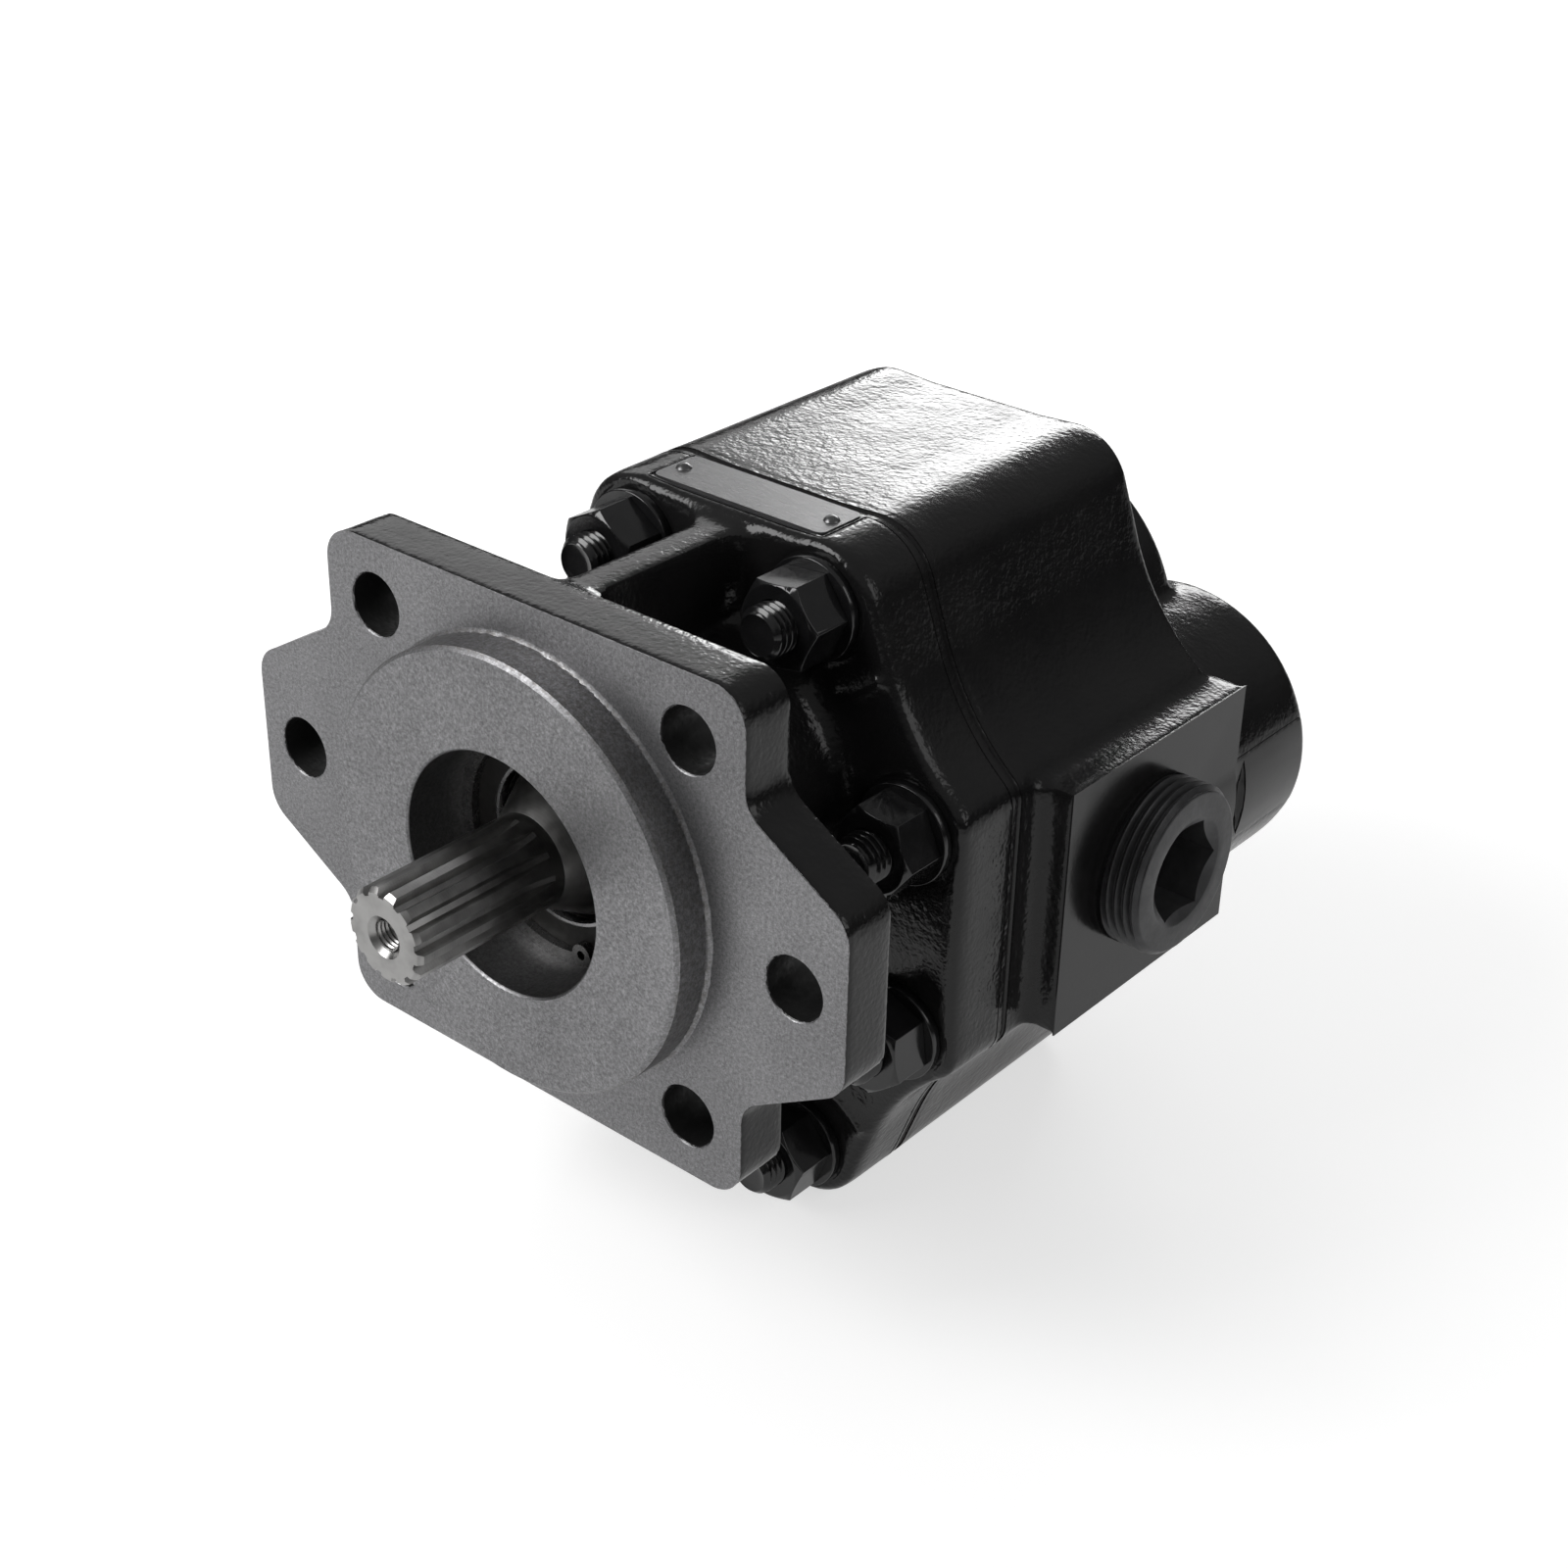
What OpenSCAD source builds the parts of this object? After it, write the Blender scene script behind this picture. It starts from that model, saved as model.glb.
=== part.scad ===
// Hydraulic gear pump with a flange-mounted front cover, two meshed gears and a cast body.
// Millimetres. The drive shaft lies along Y and its splined end points to -Y.
// The origin is on the drive shaft axis, in the plane of the mounting flange's front face.
// +Z is up, towards the nameplate, and +X is the side with the port plug that the photograph shows.

/* [Gears] */
// Distance between the drive shaft axis and the driven shaft axis
shaft_centre_distance = 48.2; // [47:0.1:50]
// Teeth on each of the two equal gears
gear_teeth = 10; // [10:1:12]
// Width of both gears along their shafts
gear_width = 38; // [30:1:44]
// Pressure angle of the gear teeth in degrees
gear_pressure_angle = 25; // [24:0.5:27]
// Length of each bearing block along the shafts
block_length = 25; // [22:0.5:27]
// Diameter of the shaft journals that run in the bushes
journal_d = 35; // [31:0.5:35]
// Wall of each bearing bush
bush_wall = 2; // [1.5:0.25:2.5]

/* [Splined shaft end] */
// Length of the shaft in front of the mounting flange face
shaft_reach = 41.15; // [36:0.05:48]
// Teeth of the splined end
spline_teeth = 13; // [12:1:14]
// Outer diameter of the splined end
spline_d = 21.8; // [21.2:0.1:22.2]
// Diameter at the bottom of the spline grooves
spline_root_d = 18.3; // [17.9:0.1:18.7]
// Distance from the flange face to the end of the full-depth grooves
spline_full_end = 13; // [11:0.5:16]
// Radius of the cutter that ran out at the end of the grooves
spline_cutter_r = 28; // [20:1:40]
// Diameter of the tapped hole in the end of the shaft
shaft_tap_d = 6.8; // [5:0.2:7.4]
// Depth of the tapped hole in the end of the shaft
shaft_tap_depth = 20; // [14:1:26]

/* [Mounting flange] */
// Thickness of the mounting flange
flange_thickness = 14; // [12:0.5:17]
// Distance from each corner bolt hole to the edges of the flange's square part
square_margin = 14.8; // [12:0.2:16]
// Distance from each ear bolt hole to the end of its ear
ear_margin = 13.3; // [11:0.1:16]
// Height of the flat end of each ear
ear_flat = 38.8; // [36:0.2:42]
// Slope of the ears' edges in degrees
ear_lean = 30.5; // [27:0.5:33]
// Radius of the flange's outer corners
flange_corner_r = 8; // [5:0.5:10]
// Diameter of the locating pilot
pilot_d = 101.6; // [98:0.1:104]
// Height of the pilot above the flange face
pilot_height = 9.4; // [7:0.1:11]
// Side of the square of four bolt holes
bolt_square = 89.8; // [86:0.1:92]
// Distance between the two ear bolt holes
ear_bolt_span = 146; // [142:0.5:150]
// Diameter of the six mounting bolt holes
bolt_hole_d = 14.3; // [13:0.1:16]

/* [Front cover] */
// Distance from the flange face to the joint between the cover and the body
cover_length = 80.5; // [76:0.5:88]
// Thickness of the bolting plate
plate_thickness = 20; // [18:0.5:22]
// Diameter of the round neck between the flange and the bolting plate
neck_d = 76; // [74:1:77]
// Thickness of the upright web above and below the neck
web_thickness = 9.4; // [7:0.2:12]
// Height of the web's edge above the shaft axis
web_reach = 58.2; // [54:0.2:59]
// Radius of the curved rib under each end stud
rib_r = 27.6; // [25:0.2:30]
// Height of each curved rib in front of the bolting plate
rib_height = 1.6; // [1:0.1:2.5]

/* [Pump outline] */
// Height of the top corners above the drive shaft axis
outline_top = 61.9; // [61:0.1:64]
// Half width at which the top corners would meet the upper sides
outline_top_half = 37.7; // [37:0.1:39]
// Half width across the flat sides
outline_side_half = 68.7; // [68:0.1:71]
// Height of the upper end of the flat sides
outline_shoulder_z = 8.6; // [8:0.2:10]
// Lean of the upper sides from the vertical in degrees
upper_lean = 20; // [18:0.5:22]
// Lean of the flared lower sides from the vertical in degrees
flare_lean = 50; // [48:0.5:53]
// Share of the flared side that its concave round takes up
flare_share = 0.74; // [0.5:0.02:0.8]
// Depth of the shallow dip along the top
outline_dip = 1.2; // [0.6:0.1:1.6]
// Half width of the flat middle of that dip
outline_dip_half = 16; // [12:0.5:18]
// Radius of the rounded top corners
outline_corner_r = 15.7; // [13:0.1:17]
// Radius of the rounded edges at the outer ends of the castings
cast_edge_r = 3; // [2:0.25:3.5]
// Depth of the groove that shows round the joint
joint_groove = 0.7; // [0.4:0.1:1]

/* [Body] */
// Length of the body's main block behind the joint
body_length = 77; // [76:0.5:84]
// Thickness of the rear wall behind the gear chamber
rear_wall = 15.4; // [13:0.2:18]
// Wall around the gear chamber at the rear hump
hump_wall = 14.6; // [12:0.2:16]
// Height of each milled side pad above the flat side
pad_proud = 8.3; // [7:0.1:9.5]
// Distance from the joint to the front edge of each side pad
pad_start = 8.5; // [7:0.5:12]
// Length of each side pad along the pump
pad_length = 70.6; // [69:0.2:74]
// Sideways distance from the flat side in to each rear port's axis
rear_port_inset = 26.7; // [25:0.1:28]
// Diameter of each rear port boss
rear_boss_d = 73; // [70:0.5:75]
// Reach of each rear port boss behind the main block
rear_boss_reach = 34.5; // [31:0.5:38]
// Diameter of each rear port's threaded bore
rear_thread_d = 39.2; // [37:0.2:41]
// Depth of each rear port's threaded bore
rear_thread_depth = 24; // [18:1:26]
// Diameter of the oil passages
passage_d = 29; // [24:0.5:30]

/* [Port plugs] */
// Thread diameter of each side port plug
plug_d = 41.9; // [38:0.1:43]
// Length of each side port plug
plug_length = 22; // [19:0.5:24]
// Length of the plug that stands out of the pad
plug_proud = 9.5; // [6:0.5:11]
// Width across the flats of the plug's socket
plug_hex = 22; // [18:0.5:23]
// Depth of the plug's socket
plug_hex_depth = 12; // [9:0.5:14]

/* [Studs and nuts] */
// Diameter of the eight cover studs
stud_d = 12; // [11:0.25:12.5]
// Sideways distance of the upper and lower studs
stud_top_x = 26.3; // [25:0.1:27.5]
// Height of the upper studs above the drive shaft axis
stud_top_z = 46.2; // [45:0.1:47]
// Sideways distance from the flat side in to the side studs' axes
stud_side_inset = 15.2; // [14.5:0.1:16]
// Height of the upper side studs above the drive shaft axis
stud_side_z = 1.6; // [0:0.1:3]
// Length of stud screwed into the body
stud_depth = 24; // [18:0.5:25]
// Length of stud that stands out of each nut
stud_proud = 5.9; // [3:0.1:8]
// Width across the flats of each nut
nut_hex = 19; // [18:0.25:20]
// Height of each nut
nut_height = 10.8; // [9:0.1:12]
// Diameter of each washer
washer_d = 24; // [22:0.5:25]
// Thickness of each washer
washer_thickness = 2.5; // [2:0.1:3]
// Diameter of the machined spot under each washer
spotface_d = 27.2; // [26:0.2:27.4]

/* [Seals and small parts] */
// Diameter of the seal seat in the pilot
seal_seat_d = 56; // [54:0.2:57]
// Width of the shaft seal
seal_width = 12; // [10:0.5:13]
// Distance from the flange face to the front of the retaining ring
ring_front = 6.5; // [5:0.1:8]
// Thickness of the retaining ring
ring_thickness = 2; // [1.75:0.05:2.5]
// Thickness of the joint's sealing ring
o_ring_d = 2.5; // [2.2:0.1:3]
// Diameter of the two dowel pins
dowel_d = 8; // [6:0.5:9]
// Length of the two dowel pins
dowel_length = 20; // [16:1:22]
// Length of the nameplate across the pump
nameplate_length = 49; // [44:0.5:50]
// Width of the nameplate along the pump
nameplate_width = 14.2; // [12:0.2:15]
// Thickness of the nameplate
nameplate_thickness = 0.8; // [0.6:0.1:1.2]

/* [Fits] */
// Radial gap between the gear tips and the chamber wall
tip_gap = 0.08; // [0.05:0.01:0.1]
// Gap between each gear face and its bearing block
side_gap = 0.05; // [0.03:0.01:0.1]
// Radial gap between a journal and its bush
journal_gap = 0.04; // [0.02:0.01:0.08]
// Radial gap between a bearing block and the chamber wall
block_gap = 0.04; // [0.02:0.01:0.08]
// Gap around a soft seal in its groove
seal_gap = 0.1; // [0.05:0.05:0.3]
// Radial gap between the shaft and the lip of its seal
lip_gap = 0.3; // [0.3:0.05:0.4]
// Radial gap around each stud in the cover
stud_gap = 0.6; // [0.4:0.1:1]

/* [Hidden] */
$fn = 96;

// Places along the pump and across it
mid_z = -shaft_centre_distance / 2;
driven_z = -shaft_centre_distance;
joint_y = cover_length;
plate_front = cover_length - plate_thickness;
spotface_depth = 0.5;
seat_y = plate_front + spotface_depth;
chamber_depth = gear_width + 2 * block_length + 2 * side_gap;
chamber_end = joint_y + chamber_depth;
gear_front = joint_y + block_length + side_gap;
gear_rear = gear_front + gear_width;
port_y = (gear_front + gear_rear) / 2;
body_rear = joint_y + body_length;
hump_rear = chamber_end + rear_wall;
boss_rear = body_rear + rear_boss_reach;

// Gear form: full depth teeth whose pitch circles meet between the shafts, less a little backlash
backlash_share = 0.004;
dedendum = 1.22;
root_over_journal = 0.4;
gear_module = shaft_centre_distance * (1 - backlash_share) / gear_teeth;
pitch_r = gear_module * gear_teeth / 2;
base_r = pitch_r * cos(gear_pressure_angle);
tip_r = pitch_r + gear_module;
root_r = max(pitch_r - dedendum * gear_module, journal_d / 2 + root_over_journal);
chamber_r = tip_r + tip_gap;
block_r = chamber_r - block_gap;
journal_r = journal_d / 2;
bush_r = journal_r + journal_gap + bush_wall;

// Spline form
spline_r = spline_d / 2;
spline_root_r = spline_root_d / 2;
spline_pressure_angle = 30;
spline_pitch_share = 0.9466;
spline_pitch_r = spline_r * spline_pitch_share;
spline_base_r = spline_pitch_r * cos(spline_pressure_angle);
shaft_cone_length = 11;

// Seal and ring places
ring_groove_depth = 1.6;
ring_width = 3.2;
ring_lug_inset = 2.7;
o_ring_wall = 4.2;
groove_wall = 2.1;
split_gap = 0.3;
bush_shoulder = 2.6;
ring_back = ring_front + ring_thickness;
seal_front = ring_back + 0.1;
seal_back = seal_front + seal_width;
seat_r = seal_seat_d / 2;
ring_groove_r = seat_r + ring_groove_depth;
ring_inner_r = seat_r - ring_width;
ring_lug_r = seat_r - ring_lug_inset;
ring_lug_angles = [-72, -48];
o_ring_path_r = chamber_r + o_ring_wall;
groove_depth = 2.5;
groove_outer_r = block_r - groove_wall;
groove_split_r = shaft_centre_distance / 2 + split_gap;
groove_inner_r = bush_r + bush_shoulder;

stud_side_x = outline_side_half - stud_side_inset;

// Stud pattern: four studs at the ends and four at the sides, mirrored about the mid plane of the gears
stud_places = [for (side = [-1, 1], half = [0, 1])
    each [[side * stud_top_x, half == 0 ? stud_top_z : 2 * mid_z - stud_top_z],
          [side * stud_side_x, half == 0 ? stud_side_z : 2 * mid_z - stud_side_z]]];
nut_rear = seat_y - washer_thickness;
nut_front = nut_rear - nut_height;
stud_front = nut_front - stud_proud;
stud_r = stud_d / 2;

// The pump's outline, anticlockwise from the lower right, with the radius of each corner
upper_slope = tan(upper_lean);
flare_slope = tan(flare_lean);
waist_z = (outline_side_half + flare_slope * outline_shoulder_z - outline_top_half
    - upper_slope * outline_top) / (flare_slope - upper_slope);
waist_half = outline_top_half + upper_slope * (outline_top - waist_z);
flare_length = (outline_side_half - waist_half) / sin(flare_lean);
flare_r = flare_share * flare_length / tan((flare_lean - upper_lean) / 2);
shoulder_r = 2.5 * cast_edge_r;
dip_r = 10 * cast_edge_r;
upper_points = [[outline_side_half, outline_shoulder_z], [waist_half, waist_z],
    [outline_top_half, outline_top], [outline_dip_half, outline_top - outline_dip],
    [-outline_dip_half, outline_top - outline_dip], [-outline_top_half, outline_top],
    [-waist_half, waist_z], [-outline_side_half, outline_shoulder_z]];
upper_radii = [shoulder_r, flare_r, outline_corner_r, dip_r, dip_r, outline_corner_r, flare_r, shoulder_r];
outline_points = concat(upper_points, [for (p = upper_points) [-p[0], 2 * mid_z - p[1]]]);
outline_radii = concat(upper_radii, upper_radii);

// The flange's outline, anticlockwise from the lower right ear
ear_half_span = ear_bolt_span / 2 + ear_margin;
square_half = bolt_square / 2 + square_margin;
ear_root_z = ear_flat / 2 + (ear_half_span - square_half) * tan(ear_lean);
ear_points = [[ear_half_span, -ear_flat / 2], [ear_half_span, ear_flat / 2], [square_half, ear_root_z],
    [square_half, square_half], [-square_half, square_half], [-square_half, ear_root_z]];
flange_points = concat(ear_points, [for (p = ear_points) -p]);
flange_radii = [for (p = flange_points) flange_corner_r];

function unit(v) = v / norm(v);
function to_radians(a) = a * PI / 180;
function to_degrees(a) = a * 180 / PI;
// Involute of an angle, in degrees
function involute(a) = to_degrees(tan(a)) - a;
// A point at a radius and an angle
function polar(r, a) = [r * cos(a), r * sin(a)];

// Half the angle that a tooth fills at radius r
function half_tooth(r, r_base, r_pitch, angle, teeth) =
    90 / teeth + involute(angle) - involute(acos(min(1, r_base / r)));

// Extrudes a shape drawn in X and Z from y0 to y1
module prism_y(y0, y1) {
    translate([0, y1, 0]) rotate([90, 0, 0]) linear_extrude(height = y1 - y0) children();
}

// A cylinder along Y from y0 to y1
module round_y(y0, y1, r, front_r = -1) {
    r_front = front_r < 0 ? r : front_r;
    translate([0, y0, 0]) rotate([-90, 0, 0]) cylinder(r1 = r_front, r2 = r, h = y1 - y0);
}

// Turns a profile drawn as [radius, y] about the Y axis
module turned_y() {
    rotate([-90, 0, 0]) rotate_extrude() children();
}

// One corner of a rounded outline: which way it turns, half its inner angle, both ends of its arc and
// the arc's centre
function corner(points, radii, i) =
    let (n = len(points), here = points[i], before = unit(points[(i + n - 1) % n] - here),
        after = unit(points[(i + 1) % n] - here), half = acos(before * after) / 2)
    [sign(after[0] * before[1] - after[1] * before[0]), half,
        here + before * radii[i] / tan(half), here + after * radii[i] / tan(half),
        here + unit(before + after) * radii[i] / sin(half)];

function corners(points, radii) = [for (i = [0 : len(points) - 1]) corner(points, radii, i)];

// The same outline moved inwards by a distance
function inset_points(points, radii, distance) = [for (i = [0 : len(points) - 1])
    let (c = corner(points, radii, i))
    points[i] + c[0] * unit(c[4] - points[i]) * distance / sin(c[1])];

function inset_radii(points, radii, distance) = [for (i = [0 : len(points) - 1])
    radii[i] - corner(points, radii, i)[0] * distance];

// A closed outline whose corners have radii, with true arcs
module rounded_outline(points, radii) {
    all = corners(points, radii);
    difference() {
        union() {
            polygon([for (c = all) each [c[2], c[3]]]);
            for (i = [0 : len(points) - 1]) if (all[i][0] > 0) translate(all[i][4]) circle(r = radii[i]);
        }
        for (i = [0 : len(points) - 1]) if (all[i][0] < 0) translate(all[i][4]) circle(r = radii[i]);
    }
}

// What a round of radius r takes off an edge: the part outside the circle. The circle stands a little
// proud of both walls, so that it crosses them cleanly
module round_section(r, proud) {
    difference() {
        translate([-1, -r]) square([r + 1, r + 1]);
        translate([r - proud, proud - r]) circle(r = r);
    }
}

// Cuts that round the upper edge of an extruded outline along some of its corners and the sides after
// them. A side's cut runs on to the sharp corner where the outline turns outwards, and the three kinds
// of cut stand proud by different steps, so that each crosses the next
module edge_cuts(points, radii, which, r) {
    all = corners(points, radii);
    for (i = which) {
        here = all[i];
        j = (i + 1) % len(points);
        from = here[0] > 0 ? points[i] : here[3];
        run = (all[j][0] > 0 ? points[j] : all[j][2]) - from;
        translate(from) rotate([0, 0, atan2(run[1], run[0])]) rotate([90, 0, 90])
            linear_extrude(height = norm(run)) round_section(r, 2 * round_step);
        overrun = here[0] > 0 ? 0 : round_overrun;
        sweep = 180 - 2 * here[1] + 2 * overrun;
        start = (here[0] > 0 ? here[2] : here[3]) - here[4];
        translate(here[4]) rotate([0, 0, atan2(start[1], start[0]) - overrun])
            rotate_extrude(angle = sweep) translate([radii[i], 0]) mirror([here[0] > 0 ? 1 : 0, 0])
                round_section(r, (here[0] > 0 ? 3 : 1) * round_step);
    }
}

// One quarter of a casting that has the pump's outline: a shallow groove at its foot, where it meets the
// other casting, and a rounded edge at its far end
joint_groove_width = 1.2;
round_step = 0.02;
round_overrun = 4;
quarter_corners = [len(outline_points) - 1, 0, 1, 2, 3];

module cast_quarter(length) {
    reach = outline_side_half + outline_top;
    intersection() {
        difference() {
            union() {
                linear_extrude(height = joint_groove_width) rounded_outline(
                    inset_points(outline_points, outline_radii, joint_groove),
                    inset_radii(outline_points, outline_radii, joint_groove));
                translate([0, 0, joint_groove_width]) linear_extrude(height = length - joint_groove_width)
                    rounded_outline(outline_points, outline_radii);
            }
            translate([0, 0, length]) edge_cuts(outline_points, outline_radii, quarter_corners, cast_edge_r);
        }
        translate([0, mid_z, -1]) cube([reach, reach, length + 2]);
    }
}

module cast_block(length) {
    for (x = [0, 1], z = [0, 1]) translate([0, z * 2 * mid_z, 0]) mirror([x, 0, 0]) mirror([0, z, 0])
        cast_quarter(length);
}

// Two equal circles on the two gear axes, as in the chamber and the bearing blocks
module twin_circles(r) {
    circle(r = r);
    translate([0, driven_z]) circle(r = r);
}

// Two half circles joined by straight sides, around both gear axes
module racetrack(r) {
    twin_circles(r);
    translate([-r, driven_z]) square([2 * r, shaft_centre_distance]);
}

module at_studs() {
    for (place = stud_places) translate([place[0], 0, place[1]]) children();
}

// Front cover: flange, pilot, neck, webs and bolting plate in one casting
neck_r = neck_d / 2;
neck_fillet_r = 7;
web_fillet_r = 7;
web_root = 8;
neck_bore_r = 21;
shaft_hole_gap = 0.7;
shaft_hole_r = journal_r + shaft_hole_gap;
neck_bore_end = plate_front + 0.4 * plate_thickness;

module flange_plate() {
    prism_y(0, flange_thickness) rounded_outline(flange_points, flange_radii);
}

module pilot() {
    chamfer = 0.9;
    round_y(-pilot_height + chamfer, 1, pilot_d / 2);
    round_y(-pilot_height, -pilot_height + chamfer, pilot_d / 2, pilot_d / 2 - chamfer);
}

// The neck swells into both plates with a concave round
module neck() {
    difference() {
        turned_y() polygon([[0, 1], [neck_r + neck_fillet_r, 1],
            [neck_r + neck_fillet_r, flange_thickness + neck_fillet_r],
            [neck_r, flange_thickness + neck_fillet_r], [neck_r, plate_front - neck_fillet_r],
            [neck_r + neck_fillet_r, plate_front - neck_fillet_r],
            [neck_r + neck_fillet_r, plate_front + 1], [0, plate_front + 1]]);
        for (y = [flange_thickness + neck_fillet_r, plate_front - neck_fillet_r])
            turned_y() translate([neck_r + neck_fillet_r, y]) circle(r = neck_fillet_r);
    }
}

// One upright web, drawn in plan so that it flares where it meets each plate
module web(z0, z1) {
    sharp = 0.01;
    flare = web_fillet_r - 10 * sharp;
    plan = [[-web_thickness / 2 - web_fillet_r, flange_thickness - 1],
        [web_thickness / 2 + web_fillet_r, flange_thickness - 1],
        [web_thickness / 2 + web_fillet_r, flange_thickness],
        [web_thickness / 2, flange_thickness], [web_thickness / 2, plate_front],
        [web_thickness / 2 + web_fillet_r, plate_front],
        [web_thickness / 2 + web_fillet_r, plate_front + 1],
        [-web_thickness / 2 - web_fillet_r, plate_front + 1],
        [-web_thickness / 2 - web_fillet_r, plate_front], [-web_thickness / 2, plate_front],
        [-web_thickness / 2, flange_thickness],
        [-web_thickness / 2 - web_fillet_r, flange_thickness]];
    radii = [sharp, sharp, sharp, flare, flare, sharp, sharp, sharp, sharp, flare, flare, sharp];
    translate([0, 0, z0]) linear_extrude(height = z1 - z0) rounded_outline(plan, radii);
}

// Curved ribs on the bolting plate, each bowed round an end stud from the neck to the plate's edge
rib_offset = [1.8, 7.5];
rib_centre_x = stud_top_x - rib_offset[0];
rib_centre_z = stud_top_z + rib_offset[1];
rib_first_angle = 42;
rib_sweep = 76;

module plate_ribs() {
    for (x = [0, 1], z = [0, 1]) translate([0, 0, z * 2 * mid_z]) mirror([x, 0, 0]) mirror([0, 0, z])
        translate([rib_centre_x, plate_front, rib_centre_z]) rotate([-90, rib_first_angle, 0])
            rotate_extrude(angle = rib_sweep) translate([rib_r, 0]) circle(r = rib_height);
}

module cover_bore() {
    mouth = 0.5;
    turned_y() polygon([[0, -pilot_height - 1], [seat_r + mouth + 1, -pilot_height - 1],
        [seat_r + mouth, -pilot_height], [seat_r, -pilot_height + mouth], [seat_r, ring_front],
        [ring_groove_r, ring_front], [ring_groove_r, ring_back + 0.05], [seat_r, ring_back + 0.05],
        [seat_r, seal_back], [neck_bore_r, seal_back], [neck_bore_r, neck_bore_end],
        [shaft_hole_r, neck_bore_end + neck_bore_r - shaft_hole_r], [shaft_hole_r, joint_y + 1],
        [0, joint_y + 1]]);
}

// A bolt hole whose sharp front edge is broken
module bolt_hole() {
    edge = 0.4;
    round_y(-1, flange_thickness + 1, bolt_hole_d / 2);
    round_y(-edge, edge, bolt_hole_d / 2, bolt_hole_d / 2 + 2 * edge);
}

module flange_holes() {
    for (x = [-1, 1]) {
        translate([x * ear_bolt_span / 2, 0, 0]) bolt_hole();
        for (z = [-1, 1]) translate([x * bolt_square / 2, 0, z * bolt_square / 2]) bolt_hole();
    }
}

// Flat seat for the nameplate on top of the bolting plate
nameplate_seat_depth = 1.3;
nameplate_seat_start = 3.4;
nameplate_margin = 0.5;
rivet_inset = 3.1;
nameplate_z = outline_top - nameplate_seat_depth;
nameplate_y = plate_front + nameplate_seat_start + nameplate_margin + nameplate_width / 2;
rivet_half_span = nameplate_length / 2 - rivet_inset;
rivet_r = 1.2;
rivet_depth = 4;

module nameplate_seat() {
    margin = 0.6;
    translate([-nameplate_length / 2 - margin, plate_front + nameplate_seat_start, nameplate_z])
        cube([nameplate_length + 2 * margin, plate_thickness, 5]);
    for (x = [-1, 1]) translate([x * rivet_half_span, nameplate_y, nameplate_z - rivet_depth])
        cylinder(r = rivet_r, h = rivet_depth + 1);
}

dowel_inset = 10.7;
dowel_x = outline_side_half - dowel_inset;

module at_dowels() {
    for (x = [-1, 1]) translate([x * dowel_x, 0, mid_z]) children();
}

module front_cover() {
    color([0.08, 0.08, 0.09]) difference() {
        union() {
            flange_plate();
            pilot();
            neck();
            web(neck_r - web_root, web_reach);
            web(-web_reach, web_root - neck_r);
            plate_ribs();
            translate([0, joint_y, 0]) rotate([90, 0, 0]) cast_block(plate_thickness);
        }
        cover_bore();
        flange_holes();
        at_studs() {
            round_y(stud_front - 1, seat_y, spotface_d / 2);
            round_y(seat_y - 1, joint_y + 1, stud_r + stud_gap);
        }
        at_dowels() round_y(joint_y - dowel_length / 2, joint_y + 1, dowel_d / 2);
        nameplate_seat();
    }
}

// Pump body: outer block, side pads, rear hump and rear port bosses in one casting
pad_face_x = outline_side_half + pad_proud;
pad_front = joint_y + pad_start;
pad_rear = pad_front + pad_length;
pad_top_z = outline_shoulder_z - 1;
pad_bottom_z = 2 * mid_z - pad_top_z;
pad_foot_r = 4;
rear_port_x = outline_side_half - rear_port_inset;
hump_r = chamber_r + hump_wall;
hump_edge_r = 4;
boss_r = rear_boss_d / 2;
boss_edge_r = 3;
boss_root = 8;
pad_step = 3.4;

// Both side pads, drawn in plan with a concave round where they rise from the body's sides
module side_pads() {
    root = outline_side_half - 1;
    translate([0, 0, pad_bottom_z]) linear_extrude(height = pad_top_z - pad_bottom_z)
        for (x = [0, 1]) mirror([x, 0]) difference() {
            polygon([[0, pad_front], [root, pad_front], [root, pad_front - pad_foot_r],
                [root + 1, pad_front - pad_foot_r], [root + 1 + pad_foot_r, pad_front],
                [pad_face_x, pad_front], [pad_face_x, pad_rear], [0, pad_rear]]);
            translate([root + 1 + pad_foot_r, pad_front - pad_foot_r]) circle(r = pad_foot_r);
        }
}

// A solid turned about Y whose far edge is rounded
module rounded_boss(y0, y1, r, edge_r) {
    turned_y() difference() {
        union() {
            translate([0, y0]) square([r, y1 - y0 - edge_r]);
            translate([0, y0]) square([r - edge_r, y1 - y0]);
            translate([r - edge_r, y1 - edge_r]) circle(r = edge_r);
        }
        translate([-r, y0]) square([r, y1 - y0]);
    }
}

module rear_bosses() {
    for (x = [-1, 1]) translate([x * rear_port_x, 0, mid_z])
        rounded_boss(body_rear - cast_edge_r - boss_root, boss_rear, boss_r, boss_edge_r);
}

// The hump over both ends of the gear chamber: two round ends and a straight middle with the same section
module rear_hump() {
    start = body_rear - cast_edge_r - 2;
    for (z = [0, driven_z]) translate([0, 0, z]) rounded_boss(start, hump_rear, hump_r, hump_edge_r);
    translate([0, 0, driven_z]) linear_extrude(height = shaft_centre_distance) {
        translate([-hump_r, start]) square([2 * hump_r, hump_rear - start - hump_edge_r]);
        translate([-hump_r + hump_edge_r, start]) square([2 * (hump_r - hump_edge_r), hump_rear - start]);
        for (x = [-1, 1]) translate([x * (hump_r - hump_edge_r), hump_rear - hump_edge_r])
            circle(r = hump_edge_r);
    }
}

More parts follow.
